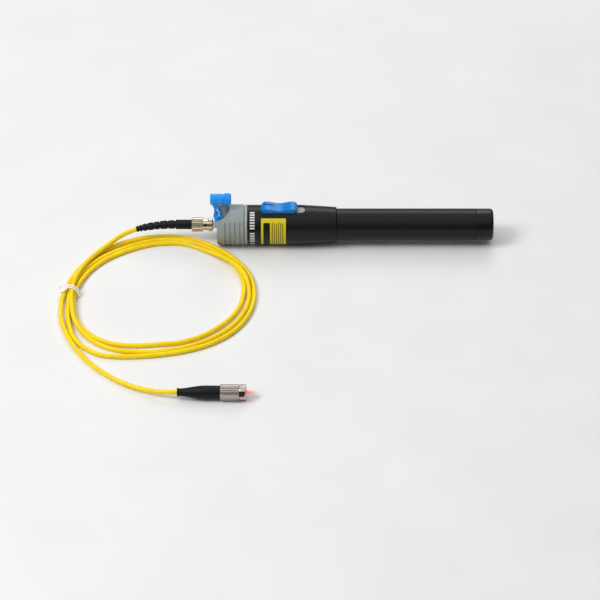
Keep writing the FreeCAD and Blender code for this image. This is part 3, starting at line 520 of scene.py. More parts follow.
class Form:
    """A mesh in the making, in millimetres about the pen's axis."""

    def __init__(self) -> None:
        """Start with nothing."""
        self.bm = bmesh.new()

    @classmethod
    def lathe(cls, outline: Outline, steps: int = 96, arc: float = 360.0, start: float = 0.0) -> "Form":
        """Turn a closed outline about the axis.

        Args:
            outline: Stations and radii, in order round the section.
            steps: Facets round the whole arc.
            arc: How far it turns, in degrees.
            start: Where it starts, in degrees from the top.

        Returns:
            The turned form.
        """
        form = cls()
        bm = form.bm
        verts = [bm.verts.new((x, 0, r)) for x, r in outline]
        edges = [bm.edges.new(pair) for pair in zip(verts, verts[1:] + verts[:1])]
        full = arc >= 360
        turn = Matrix.Rotation(math.radians(start), 3, "X")
        bmesh.ops.rotate(bm, verts=verts, cent=(0, 0, 0), matrix=turn)
        bmesh.ops.spin(bm, geom=verts + edges, cent=(0, 0, 0), axis=(1, 0, 0), dvec=(0, 0, 0),
                       angle=math.radians(arc), steps=steps, use_merge=full, use_duplicate=False)
        bmesh.ops.remove_doubles(bm, verts=bm.verts, dist=WELD)
        if not full:
            rims = [e for e in bm.edges if e.is_boundary]
            bmesh.ops.edgeloop_fill(bm, edges=rims)
        bmesh.ops.dissolve_degenerate(bm, dist=1e-5, edges=bm.edges)
        bmesh.ops.delete(bm, geom=[e for e in bm.edges if e.is_wire], context="EDGES")
        bmesh.ops.recalc_face_normals(bm, faces=bm.faces)
        return form

    @classmethod
    def block(cls, low: Point, high: Point) -> "Form":
        """A box between two corners."""
        form = cls()
        made = bmesh.ops.create_cube(form.bm, size=1)["verts"]
        size = [b - a for a, b in zip(low, high)]
        bmesh.ops.scale(form.bm, vec=size, verts=made)
        bmesh.ops.translate(form.bm, vec=[(a + b) / 2 for a, b in zip(low, high)], verts=made)
        return form

    @classmethod
    def post(cls, radius: float, foot: Point, top: Point, steps: int = 48) -> "Form":
        """A round bar between two points."""
        form = cls()
        run = Vector(top) - Vector(foot)
        made = bmesh.ops.create_cone(form.bm, cap_ends=True, segments=steps, radius1=radius, radius2=radius,
                                     depth=run.length)["verts"]
        aim = run.to_track_quat("Z", "Y").to_matrix().to_4x4()
        spot = Matrix.Translation((Vector(foot) + Vector(top)) / 2) @ aim
        bmesh.ops.transform(form.bm, matrix=spot, verts=made)
        return form

    @classmethod
    def slab(cls, outline: Outline, half: float) -> "Form":
        """A side outline pulled straight across the pen, to half on each side."""
        form = cls()
        face = form.bm.faces.new([form.bm.verts.new((x, -half, z)) for x, z in outline])
        pulled = bmesh.ops.extrude_face_region(form.bm, geom=[face])["geom"]
        moved = [g for g in pulled if isinstance(g, bmesh.types.BMVert)]
        bmesh.ops.translate(form.bm, vec=(0, 2 * half, 0), verts=moved)
        bmesh.ops.recalc_face_normals(form.bm, faces=form.bm.faces)
        return form

    @classmethod
    def stadium(cls, x0: float, x1: float, width: float, z0: float, z1: float, steps: int = 16) -> "Form":
        """An upright plate with two round ends."""
        form = cls.block((x0, -width / 2, z0), (x1, width / 2, z1))
        corners = [e for e in form.bm.edges if abs(e.verts[0].co.z - e.verts[1].co.z) > 1e-4]
        form.round(corners, width / 2 - 0.001, steps)
        return form

    @classmethod
    def sweep(cls, points: Sequence[Point], radius: float, closed: bool = False) -> "Form":
        """Draw a round wire along a smooth line.

        Args:
            points: The line's control points.
            radius: Radius of the wire.
            closed: Whether the line joins up.

        Returns:
            The swept form.
        """
        curve = round_wire("sweep", points, radius, closed, (5, 3))
        thing = bpy.data.objects.new("sweep", curve)
        mesh = bpy.data.meshes.new_from_object(thing)
        form = cls()
        form.bm.from_mesh(mesh)
        bmesh.ops.remove_doubles(form.bm, verts=form.bm.verts, dist=WELD)
        bmesh.ops.recalc_face_normals(form.bm, faces=form.bm.faces)
        bpy.data.objects.remove(thing)
        bpy.data.curves.remove(curve)
        bpy.data.meshes.remove(mesh)
        return form

    def add(self, other: "Form") -> "Form":
        """Take in another form's faces and use it up."""
        mesh = bpy.data.meshes.new("part")
        other.bm.to_mesh(mesh)
        other.bm.free()
        self.bm.from_mesh(mesh)
        bpy.data.meshes.remove(mesh)
        return self

    def round(self, edges: Iterable[bmesh.types.BMEdge], width: float, segments: int) -> "Form":
        """Round a choice of edges."""
        bmesh.ops.bevel(self.bm, geom=list(edges), offset=width, offset_type="OFFSET", segments=segments,
                        profile=0.5, affect="EDGES", material=-1, clamp_overlap=True)
        return self

    def soften(self, width: float, segments: int = 3, limit: float = 28.0,
               keep: Callable[[bmesh.types.BMEdge], bool] | None = None) -> "Form":
        """Round every edge that is sharper than a limit.

        Args:
            width: Width of the rounding.
            segments: Facets across it.
            limit: Least angle, in degrees.
            keep: Test that an edge has to pass as well.

        Returns:
            The same form.
        """
        low = math.radians(limit)
        sharp = [e for e in self.bm.edges if len(e.link_faces) == 2 and e.calc_face_angle(0.0) > low]
        return self.round([e for e in sharp if keep is None or keep(e)], width, segments)

    def move(self, x: float = 0.0, y: float = 0.0, z: float = 0.0) -> "Form":
        """Shift the whole form."""
        bmesh.ops.translate(self.bm, vec=(x, y, z), verts=self.bm.verts)
        return self

    def turn(self, degrees: float, axis: str = "X", centre: Point = (0, 0, 0)) -> "Form":
        """Turn the whole form about an axis through a centre."""
        spin = Matrix.Rotation(math.radians(degrees), 3, axis)
        bmesh.ops.rotate(self.bm, verts=self.bm.verts, cent=centre, matrix=spin)
        return self

    def carve(self, cutters: Sequence["Form"], how: str = "DIFFERENCE") -> "Form":
        """Cut other forms out of this one, or join them to it.

        Args:
            cutters: Closed forms, which are used up.
            how: Name of the boolean operation.

        Returns:
            The same form.
        """
        for cutter in cutters:
            mine = self._loose("blank")
            other = cutter._loose("cutter")
            cutter.bm.free()
            step = mine.modifiers.new("carve", "BOOLEAN")
            step.operation = how
            step.solver = "EXACT"
            step.object = other
            depsgraph = bpy.context.evaluated_depsgraph_get()
            result = bpy.data.meshes.new_from_object(mine.evaluated_get(depsgraph))
            self.bm.clear()
            self.bm.from_mesh(result)
            for thing in (mine, other):
                mesh = thing.data
                bpy.data.objects.remove(thing)
                bpy.data.meshes.remove(mesh)
            bpy.data.meshes.remove(result)
        return self

    def _loose(self, name: str) -> bpy.types.Object:
        """A linked object that holds a copy of the form."""
        mesh = bpy.data.meshes.new(name)
        self.bm.to_mesh(mesh)
        thing = bpy.data.objects.new(name, mesh)
        bpy.context.collection.objects.link(thing)
        return thing

    def piece(self, name: str, finish: Finish, body: Body, centre: Vector, nodes: Sequence[str] = (),
              slot: str = "") -> bpy.types.Object:
        """Finish the form as a piece of the part.

        Args:
            name: The piece's name.
            finish: What its surface is.
            body: The rigid body that it rides on.
            centre: Where its own zero lies in the shared frame, in millimetres.
            nodes: CAD nodes that it stands for.
            slot: Material slot of the record; not used.

        Returns:
            The finished object.
        """
        bmesh.ops.dissolve_degenerate(self.bm, dist=SPECK, edges=self.bm.edges)
        place = Matrix.Diagonal((MM, MM, MM, 1.0)) @ Matrix.Translation(centre)
        bmesh.ops.transform(self.bm, matrix=place, verts=self.bm.verts)
        for face in self.bm.faces:
            face.smooth = True
        for edge in self.bm.edges:
            edge.smooth = len(edge.link_faces) != 2 or edge.calc_face_angle(0.0) < math.radians(CREASE)
        mesh = bpy.data.meshes.new(name)
        self.bm.to_mesh(mesh)
        self.bm.free()
        mesh.materials.append(finish.material())
        thing = bpy.data.objects.new(name, mesh)
        bpy.context.collection.objects.link(thing)
        level = thing.modifiers.new("even_normals", "WEIGHTED_NORMAL")
        level.keep_sharp = True
        level.weight = 60
        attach(thing, body.value)
        if nodes:
            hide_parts(*nodes)
        LOG.info("%s: %d faces", name, len(mesh.polygons))
        return thing


# ------------------------------------------------------------------ the pen's pieces


@dataclass
class Head:
    """Moulded head with hinge ears, the cap's scoop, grip grooves and the metal port."""

    length: float = 19.5
    face: float = 2.4
    radius: float = 13.0
    front_radius: float = 12.5
    spigot_radius: float = 10.15
    spigot_end: float = 26.8
    module_start: float = 12.2
    module_bore: float = 7.05
    port_radius: float = 2.5
    port_fit: float = 0.01
    port_front: float = 0.2
    port_mouth: float = 1.4
    sleeve_front: float = 1.0
    sleeve_bore: float = 1.72
    ring_bore: float = 10.2
    ring_radius: float = 12.8
    ring_end: float = 21.8
    shadow_radius: float = 12.1
    shadow_gap: float = 0.6
    ear_foot: float = 5.4
    edge: float = 1.0
    scoop_radius: float = 9.2
    scoop_centre: float = 1.6
    scoop_floor: float = 3.5
    lip_radius: float = 0.4
    lip_sink: float = 0.22
    lip_start: float = 0.6
    pivot: tuple[float, float] = (3.1, 6.2)
    trunnion_radius: float = 1.15
    trunnion_half: float = 9.85
    groove_first: float = 7.2
    groove_pitch: float = 3.2
    groove_width: float = 1.0
    groove_depth: float = 0.5
    groove_gap: int = 18
    grooves: int = 4
    facets: int = 128

    def shell(self) -> bpy.types.Object:
        """The shell, carved from a turned drum.

        Returns:
            The finished piece.
        """
        drum = Form.lathe([
            (0, self.port_radius), (0, self.front_radius), (self.groove_first - 1, self.radius),
            (self.length, self.radius), (self.length, self.spigot_radius),
            (self.spigot_end, self.spigot_radius), (self.spigot_end, self.module_bore),
            (self.module_start, self.module_bore), (self.module_start, self.port_radius)], self.facets)
        drum.soften(self.edge, 4, keep=lambda e: all(v.co.x < 0.01 and v.co.yz.length > 9 for v in e.verts))
        drum.carve([Form.block((-5, -20, -20), (self.face, 20, self.ear_foot)), self._scoop()])
        drum.carve([self._groove(n) for n in range(self.grooves)])
        station, height = self.pivot
        drum.carve([Form.post(self.trunnion_radius, (station, -self.trunnion_half, height),
                              (station, self.trunnion_half, height), 32)])
        drum.add(self._lip())
        return drum.piece("head_shell_moulded", HEAD_ABS, Body.PEN, PEN_AXIS, ["head_shell"], "head_grey_abs")

    def _scoop(self) -> Form:
        """Cutter for the well that the cap stands in, open to the front and above."""
        back = self.scoop_centre + self.scoop_radius
        cutter = Form.block((-10, -self.scoop_radius, self.scoop_floor), (back, self.scoop_radius, 40))
        upright = [e for e in cutter.bm.edges if all(v.co.x > back - 0.1 for v in e.verts)
                   and abs(e.verts[0].co.z - e.verts[1].co.z) > 1]
        cutter.round(upright, self.scoop_radius - 0.01, 20)
        low = [e for e in cutter.bm.edges if all(v.co.z < self.scoop_floor + 0.01 for v in e.verts)]
        return cutter.round(low, 0.6, 3)

    def _lip(self) -> Form:
        """Low bead round the scoop's mouth, which lies on the drum and catches the light."""
        points = []
        for turn in range(-90, 91, 15):
            x = self.scoop_centre + self.scoop_radius * math.cos(math.radians(turn))
            y = self.scoop_radius * math.sin(math.radians(turn))
            points.append((x, y))
        points = [(self.lip_start, -self.scoop_radius), *points, (self.lip_start, self.scoop_radius)]
        slope = (self.radius - self.front_radius) / (self.groove_first - 1)
        line = []
        for x, y in points:
            skin = min(self.radius, self.front_radius + slope * x)
            line.append((x, y, math.sqrt(skin * skin - y * y) - self.lip_sink))
        return Form.sweep(line, self.lip_radius)

    def _groove(self, number: int) -> Form:
        """Cutter for one finger groove, which leaves the top plain."""
        x0 = self.groove_first + number * self.groove_pitch
        x1 = x0 + self.groove_width
        flare = 0.18
        out = self.radius + 0.3
        low = self.radius - self.groove_depth
        section = [(x0 - flare, out), (x1 + flare, out), (x1, self.radius - 0.12), (x1 - flare, low),
                   (x0 + flare, low), (x0, self.radius - 0.12)]
        facet = 360 / self.facets
        return Form.lathe(section, self.facets - 2 * self.groove_gap, 360 - 2 * self.groove_gap * facet,
                          self.groove_gap * facet)

    def ring(self) -> bpy.types.Object:
        """Clamp ring behind the head, with its shadow groove."""
        front, step, back = self.length, self.length + self.shadow_gap, self.ring_end
        ring = Form.lathe([
            (front, self.ring_bore), (front, self.shadow_radius), (step, self.shadow_radius),
            (step, self.ring_radius), (back, self.ring_radius), (back, self.ring_bore)], self.facets)
        ring.soften(0.25, 3)
        return ring.piece("clamp_ring", RING_ABS, Body.PEN, PEN_AXIS, ["head_ring"], "ring_grey")

    def port(self) -> bpy.types.Object:
        """Nickel port that the plug's ferrule enters."""
        front, back, outer = self.port_front, self.module_start, self.port_radius - self.port_fit
        port = Form.lathe([
            (front, self.port_mouth), (front, outer), (back, outer), (back, self.sleeve_bore),
            (self.sleeve_front, self.sleeve_bore), (self.sleeve_front, self.port_mouth)], 64)
        port.soften(0.15, 2)
        return port.piece("port_nickel", SATIN_NICKEL, Body.PEN, PEN_AXIS, ["port_tube"], "satin_nickel")

    def build(self) -> None:
        """Make every piece of the head."""
        self.shell()
        self.ring()
        self.port()


@dataclass
class Barrel:
    """Front barrel with its switch pocket, printed ticks, label, and the switch's plate."""

    start: float = 21.8
    taper: float = 56.7
    end: float = 79.3
    radius: float = 12.7
    end_radius: float = 11.3
    bore: float = 10.2
    back_bore: float = 9.05
    bore_step: float = 61.45
    pocket: tuple[float, float] = (31.2, 59.4)
    pocket_width: float = 7.6
    pocket_floor: float = 10.7
    plate_top: float = 11.25
    slot: tuple[float, float] = (39.75, 49.75)
    slot_half: float = 1.5
    tick_band: tuple[float, float] = (23.5, 26.6)
    tick_words: tuple[int, ...] = (7, 5, 6)
    tick_first: float = 15.0
    tick_pitch: float = 8.0
    tick_width: float = 4.6
    label_span: tuple[float, float] = (30.7, 46.6)
    label_turn: tuple[float, float] = (36.0, 149.0)
    film: float = 0.07

    def shell(self) -> bpy.types.Object:
        """The anodised barrel."""
        barrel = Form.lathe([
            (self.start, self.bore), (self.start, self.radius), (self.taper, self.radius),
            (self.end, self.end_radius), (self.end, self.back_bore), (self.bore_step, self.back_bore),
            (self.bore_step, self.bore)], 128)
        barrel.soften(0.8, 4, 50, lambda e: all(
            v.co.x > self.end - 0.1 and v.co.yz.length > 11 for v in e.verts))
        barrel.soften(0.2, 2, 50, lambda e: all(
            v.co.x < self.start + 0.1 and v.co.yz.length > 12 for v in e.verts))
        x0, x1 = self.pocket
        barrel.carve([Form.stadium(x0, x1, self.pocket_width, self.pocket_floor, self.radius + 3),
                      self._stem_slot()])
        return barrel.piece("front_barrel_anodised", BARREL_ANODISED, Body.PEN, PEN_AXIS, ["front_barrel"],
                            "barrel_black_anodised")

    def _stem_slot(self) -> Form:
        """Cutter for the slot that the button's stem slides in."""
        return Form.block((self.slot[0], -self.slot_half, 5), (self.slot[1], self.slot_half, self.radius + 3))

    def plate(self) -> bpy.types.Object:
        """Pale plate in the pocket."""
        x0, x1 = self.pocket
        plate = Form.stadium(x0 + 0.05, x1 - 0.05, self.pocket_width - 0.1, self.pocket_floor + 0.02,
                             self.plate_top)
        plate.soften(0.12, 2, 60)
        plate.carve([self._stem_slot()])
        return plate.piece("switch_plate_pale", PLATE_ABS, Body.PEN, PEN_AXIS, ["switch_plate"],
                           "plate_grey_abs")

    def ticks(self) -> bpy.types.Object:
        """Plain white ticks printed round the barrel, in three groups."""
        x0, x1 = self.tick_band
        print_film = Form()
        angle = self.tick_first
        for count in self.tick_words:
            for _ in range(count):
                section = [(x0, self.radius - 0.05), (x0, self.radius + 0.04), (x1, self.radius + 0.04),
                           (x1, self.radius - 0.05)]
                print_film.add(Form.lathe(section, 4, self.tick_width, angle))
                angle += self.tick_pitch
            angle += self.tick_pitch
        return print_film.piece("barrel_ticks", WHITE_INK, Body.PEN, PEN_AXIS)

    def label(self) -> bpy.types.Object:
        """Yellow label film wrapped under the switch, with its own flat map in millimetres."""
        (x0, x1), (a0, a1) = self.label_span, self.label_turn
        low, high = self.radius - 0.05, self.radius + self.film
        film = Form.lathe([(x0, low), (x0, high), (x1, high), (x1, low)], 72, a1 - a0, a0)
        corners = [e for e in film.bm.edges if abs(e.verts[0].co.x - e.verts[1].co.x) < 0.01
                   and abs(e.verts[0].co.yz.length - e.verts[1].co.yz.length) > 0.05
                   and len(e.link_faces) == 2 and e.calc_face_angle(0) > 1]
        film.round(corners, 0.9, 5)
        layer = film.bm.loops.layers.uv.new("film")
        for face in film.bm.faces:
            for loop in face.loops:
                point = loop.vert.co
                turn = math.degrees(math.atan2(-point.y, point.z)) - a0
                loop[layer].uv = (point.x - x0, math.radians(turn) * self.radius)
        return film.piece("barrel_label", LABEL_FILM, Body.PEN, PEN_AXIS)

    def build(self) -> None:
        """Make every piece of the barrel."""
        self.shell()
        self.plate()
        self.ticks()
        self.label()


@dataclass
class SlideSwitch:
    """Thumb button like a saddle, sliding along the barrel."""

    start: float = 30.8
    length: float = 23.3
    width: float = 8.8
    seat: float = 12.9
    corner: float = 2.4
    groove: tuple[float, float] = (32.4, 39.4)
    groove_width: float = 1.2
    rib_width: float = 7.3
    rib_foot: float = 11.6
    stem_half: float = 2.5
    stem_foot: float = 7.2
    foot: float = 12.1
    shoulder: float = 13.3
    lobe: tuple[float, float] = (3.4, 15.15)
    waist: tuple[float, float] = (10.8, 13.9)
    groove_side: float = 1.2

    def side(self) -> list[tuple[float, float]]:
        """Half the saddle's outline, from its foot over the lobe to the middle of the waist.

        Returns:
            Stations from the button's end, with heights.
        """
        (lobe_x, lobe_z), (waist_x, waist_z) = self.lobe, self.waist
        outline = [(0.0, self.foot)]
        for n in range(11):
            turn = math.radians(9 * n)
            height = self.shoulder + (lobe_z - self.shoulder) * math.sin(turn)
            outline.append((lobe_x * (1 - math.cos(turn)), height))
        for n in range(1, 17):
            share = n / 16
            drop = (1 - math.cos(math.pi * share)) / 2
            outline.append((lobe_x + (waist_x - lobe_x) * share, lobe_z + (waist_z - lobe_z) * drop))
        return outline + [(self.length / 2, waist_z)]

    def button(self) -> bpy.types.Object:
        """The button with its grip groove, guide rib and stem."""
        half = self.length / 2
        side = self.side()
        front = [(self.start + x, z) for x, z in side]
        back = [(self.start + 2 * half - x, z) for x, z in reversed(side[:-1])]
        form = Form.slab(front + back, self.width / 2)
        end = self.start + self.length
        plan = Form.block((self.start, -self.width / 2, 5), (end, self.width / 2, 20))
        plan.round([e for e in plan.bm.edges if abs(e.verts[0].co.z - e.verts[1].co.z) > 1], self.corner, 8)
        form.carve([plan], "INTERSECT")
        form.carve([Form.post(self.seat, (self.start - 5, 0, 0), (end + 5, 0, 0), 128)])
        form.soften(0.7, 4, 50, lambda e: min(v.co.z for v in e.verts) > self.seat + 0.3)
        form.carve([Form.stadium(*self.groove, self.groove_width, 14.0, 17).move(y=self.groove_side)])
        middle = self.start + half
        rib = Form.stadium(self.start + 0.65, end - 0.4, self.rib_width, self.rib_foot, self.seat + 0.1)
        stem = Form.block((middle - self.stem_half, -1.3, self.stem_foot), (middle + self.stem_half, 1.3, 12))
        form.carve([rib, stem], "UNION")
        form.carve([Form.post(0.85, (middle, 0, 5), (middle, 0, 10.4), 24)])
        return form.piece("slide_button_saddle", SWITCH_ABS, Body.SWITCH, PEN_AXIS, ["slide_button"],
                          "switch_blue_abs")

    def build(self) -> None:
        """Make the button."""
        self.button()


@dataclass
class BatteryTube:
    """Battery tube with its threaded end, and the screw cap behind it."""

    front: float = 66.05
    start: float = 79.3
    end: float = 169.0
    spigot_end: float = 175.0
    radius: float = 10.3
    bore: float = 7.6
    spigot: float = 9.0
    thread_radius: float = 9.2
    thread_root: float = 8.8
    thread_start: float = 171.0
    thread_turns: float = 3.6
    pitch: float = 1.0
    pen_end: float = 180.2
    cap_floor: float = 176.0
    cap_bore: float = 9.3
    cap_round: float = 2.2

    def tube(self) -> bpy.types.Object:
        """The tube, with a helical thread on its back end."""
        tube = Form.lathe([
            (self.front, self.bore), (self.front, self.spigot), (self.start, self.spigot),
            (self.start, self.radius), (self.end, self.radius), (self.end, self.thread_root),
            (self.end + 0.8, self.thread_root), (self.end + 0.8, 8.4), (self.end + 1.7, 8.4),
            (self.end + 1.7, self.thread_root), (self.spigot_end, self.thread_root),
            (self.spigot_end, self.bore)], 112)
        tube.soften(0.25, 2, 50, lambda e: all(v.co.yz.length > 9.5 for v in e.verts))
        tube.add(self._thread())
        return tube.piece("battery_tube_anodised", TUBE_ANODISED, Body.PEN, PEN_AXIS, ["battery_tube"],
                          "tube_black_anodised")

    def _thread(self) -> Form:
        """Ridge of the thread, swept round and along the spigot."""
        form = Form()
        half = self.pitch * 0.32
        x = self.thread_start
        section = [(x - half, self.thread_root - 0.1), (x - 0.08, self.thread_radius),
                   (x + 0.08, self.thread_radius), (x + half, self.thread_root - 0.1)]
        verts = [form.bm.verts.new((a, 0, r)) for a, r in section]
        first = form.bm.faces.new(verts)
        steps = int(48 * self.thread_turns)
        bmesh.ops.spin(form.bm, geom=[first], cent=(0, 0, 0), axis=(1, 0, 0),
                       dvec=(self.pitch * self.thread_turns / steps, 0, 0),
                       angle=math.radians(360 * self.thread_turns), steps=steps, use_duplicate=False)
        bmesh.ops.recalc_face_normals(form.bm, faces=form.bm.faces)
        return form

    def cap(self) -> bpy.types.Object:
        """The screw cap, rounded behind."""
        start = self.end + 0.05
        cap = Form.lathe([(self.cap_floor, 0), (self.cap_floor, self.cap_bore), (start, self.cap_bore),
                          (start, self.radius), (self.pen_end, self.radius), (self.pen_end, 0)], 112)
        cap.soften(self.cap_round, 7, 50, lambda e: all(v.co.x > self.pen_end - 0.1 for v in e.verts))
        cap.soften(0.2, 2, 50, lambda e: all(v.co.x < start + 0.1 and v.co.yz.length > 10 for v in e.verts))
        return cap.piece("tail_cap_anodised", TAIL_ANODISED, Body.TAIL, PEN_AXIS, ["tail_cap"],
                         "tail_black_anodised")

    def build(self) -> None:
        """Make the tube and its cap."""
        self.tube()
        self.cap()


@dataclass
class DustCap:
    """Moulded dust cap: a cup with a ribbed grip on its strap, knuckle and trunnions."""

    front: float = -1.9
    length: float = 13.5
    radius: float = 3.5
    wall: float = 0.9
    height: float = 20.15
    floor: float = 7.6
    grip: float = 6.9
    neck: float = 0.3
    ribs: int = 18
    rib_radius: float = 0.32
    rib_length: float = 3.6
    pivot: tuple[float, float] = (3.1, 6.2)
    knuckle_radius: float = 2.4
    knuckle_half: float = 3.2
    trunnion_radius: float = 1.1
    trunnion_half: float = 9.8
    pin_radius: float = 0.6
    pin_end: float = 8.9
    strap_half: float = 1.8
    strap: Outline = (
        (1.4, 4.6), (0.65, 5.5), (0.0, 7.4), (0.2, 9.4), (0.75, 11.4), (0.6, 13.3), (-0.35, 15.6),
        (-1.35, 18.0), (-1.55, 19.4), (-1.55, 20.1), (4.0, 20.1), (4.0, 17.0), (3.0, 16.75), (2.6, 16.2),
        (2.4, 14.8), (2.1, 12.0), (2.3, 9.0), (2.7, 4.8))

    def cup(self) -> Form:
        """The cup about its own axis, with its grip ribs."""
        back = self.front + self.length
        r = self.radius
        cup = Form.lathe([(self.front, r - self.wall), (self.front, r), (self.grip - 0.25, r),
                          (self.grip - 0.15, r - self.neck), (self.grip + 0.15, r - self.neck),
                          (self.grip + 0.25, r), (back, r), (back, 0), (self.floor, 0),
                          (self.floor, r - self.wall)], 72)
        cup.soften(0.8, 4, 50, lambda e: all(v.co.x > back - 0.1 for v in e.verts))
        cup.soften(0.3, 3, 50, lambda e: all(v.co.x < self.front + 0.1 for v in e.verts))
        start = self.grip + 0.3
        for n in range(self.ribs):
            rib = Form.post(self.rib_radius, (start, 0, r), (start + self.rib_length, 0, r), 12)
            rib.soften(0.15, 2, 60)
            cup.carve([rib.turn(360 * n / self.ribs)], "UNION")
        return cup

    def _trunnions(self) -> Form:
        """Rod across the head, slim between the knuckle and the ears and full in the ears' holes."""
        full, slim, end, step = self.trunnion_radius, self.pin_radius, self.trunnion_half, self.pin_end
        rod = Form.lathe([(-end, 0), (-end, full - 0.2), (0.2 - end, full), (-step, full), (0.4 - step, slim),
                          (step - 0.4, slim), (step, full), (end - 0.2, full), (end, full - 0.2), (end, 0)], 32)
        return rod.turn(90, "Z").move(self.pivot[0], 0, self.pivot[1])

    def whole(self) -> bpy.types.Object:
        """The whole moulding, blended where its forms meet."""
        station, height = self.pivot
        web = Form.slab(self.strap, self.strap_half)
        web.soften(0.3, 3, 50, lambda e: abs(e.verts[0].co.y - e.verts[1].co.y) < 0.1)
        knuckle = Form.post(self.knuckle_radius, (station, -self.knuckle_half, height),
                            (station, self.knuckle_half, height), 48)
        knuckle.soften(0.3, 2, 60)
        rod = self._trunnions()
        room = Form.post(self.radius - self.wall, (self.front - 2, 0, self.height),
                         (self.floor, 0, self.height), 72)
        form = self.cup().move(z=self.height)
        form.carve([web, knuckle, rod], "UNION")
        form.carve([room])
        return form.piece("dust_cap_moulded", CAP_PP, Body.CAP, PEN_AXIS, ["dust_cap"], "cap_blue_pp")

    def build(self) -> None:
        """Make the cap."""
        self.whole()


# ------------------------------------------------------------------ plugs


@dataclass
class Plug(ABC):
    """Bayonet plug: a knurled nut with two windows, and its boot."""

    centre: Vector
    radius: float
    length: float
    knurl: float
    window: Window
    window_size: tuple[float, float]
    window_middle: float
    window_turn: float
    teeth: int = 20
    depth: float = 0.45
    bore: float = 3.0
    lip_bore: float = 2.35
    lip: tuple[float, float] = (-2.6, -1.8)
    core_bore: float = 2.22
    cord_bore: float = 1.52

    @abstractmethod
    def outside(self) -> Outline:
        """Outline of the nut's outside, from back to front."""

    def nut_form(self) -> Form:
        """The nut: turned, knurled and pierced."""
        back, front = self.lip
        outline = [(-self.length, self.bore), *self.outside(), (0, self.bore), (front, self.bore),
                   (front, self.lip_bore), (back, self.lip_bore), (back, self.bore)]
        nut = Form.lathe(outline, 112)
        nut.soften(0.12, 2, 40)
        teeth = Form()
        side = self.depth * 1.5
        end = -self.length + self.knurl
        for n in range(self.teeth):
            tooth = Form.block((-self.length - 1, -side / 2, -side / 2), (end, side / 2, side / 2))
            teeth.add(tooth.turn(45).move(z=self.radius + 0.02).turn(360 * (n + 0.5) / self.teeth))
        long, wide = self.window_size
        hole = Form.block((-long / 2, -wide / 2, -9), (long / 2, wide / 2, 9))
        if self.window is Window.OVAL:
            hole = Form.stadium(-long / 2, long / 2, wide, -9, 9, 10)
        hole.turn(self.window_turn).move(x=self.window_middle)
        return nut.carve([teeth, hole])


@dataclass
class NearPlug(Plug):
    """Plug in the port, with a beaded boot that droops under the cord's weight."""

    centre: Vector = field(default_factory=lambda: NEAR_PLUG)
    radius: float = 4.7
    length: float = 13.7
    knurl: float = 7.2
    window: Window = Window.OVAL
    window_size: tuple[float, float] = (2.8, 1.9)
    window_middle: float = -4.9
    window_turn: float = 62.0
    beads: tuple[float, ...] = (4.7, 5.2, 3.8, 4.3, 3.4, 2.2, 2.1)
    bead_radii: tuple[float, ...] = (2.85, 2.75, 2.6, 2.5, 2.35, 2.15, 2.0)
    plain: float = 10.3
    boot_radius: float = 3.1
    slope: float = 17.0
    gap: float = 0.9

    def outside(self) -> Outline:
        """Knurled grip, waist and rounded rim."""
        end = -self.length + self.knurl
        neck = self.radius - 1.0
        return [(-self.length, self.radius - 0.3), (-self.length + 0.3, self.radius), (end, self.radius),
                (end, neck), (end + 3.2, neck), (end + 3.7, self.radius - 0.4), (-0.7, self.radius - 0.4),
                (0, self.radius - 0.9)]

    def boot(self) -> bpy.types.Object:
        """Boot turned straight, then bent along its drooping spine."""
        start = -self.length - 0.1
        bend = start - self.plain
        outline = [(start, self.core_bore), (start, self.boot_radius), (bend, self.boot_radius)]
        x = bend
        for bead, radius in zip(self.beads, self.bead_radii):
            spine = radius - 0.55
            outline += [(x, spine), (x - self.gap, spine), (x - self.gap, radius), (x - bead, radius - 0.12)]
            x -= bead
        outline += [(x, self.cord_bore), (-self.length - 4.0, self.cord_bore),
                    (-self.length - 4.0, self.core_bore)]
        boot = Form.lathe(outline, 64)
        boot.soften(0.22, 3, 40, lambda e: all(v.co.yz.length > 1.6 for v in e.verts))
        bore = [e for e in boot.bm.edges if abs(e.verts[0].co.x - e.verts[1].co.x) > 12]
        bmesh.ops.subdivide_edges(boot.bm, edges=bore, cuts=12, use_grid_fill=True)
        reach = sum(self.beads) / math.radians(self.slope)
        for vert in boot.bm.verts:
            along = bend - vert.co.x
            if along > 0:
                turn = along / reach
                out = reach + vert.co.z
                vert.co.x = bend - out * math.sin(turn)
                vert.co.z = out * math.cos(turn) - reach
        return boot.piece("near_boot_beaded", BOOT_RUBBER, Body.PEN, self.centre, ["near_boot"], "boot_black")

    def build(self) -> list[bpy.types.Object]:
        """Make the nut and the boot."""
        nut = self.nut_form().piece("near_nut_knurled", NICKEL, Body.NEAR_BAYONET, self.centre, ["near_nut"],
                                    "nickel")
        return [nut, self.boot()]


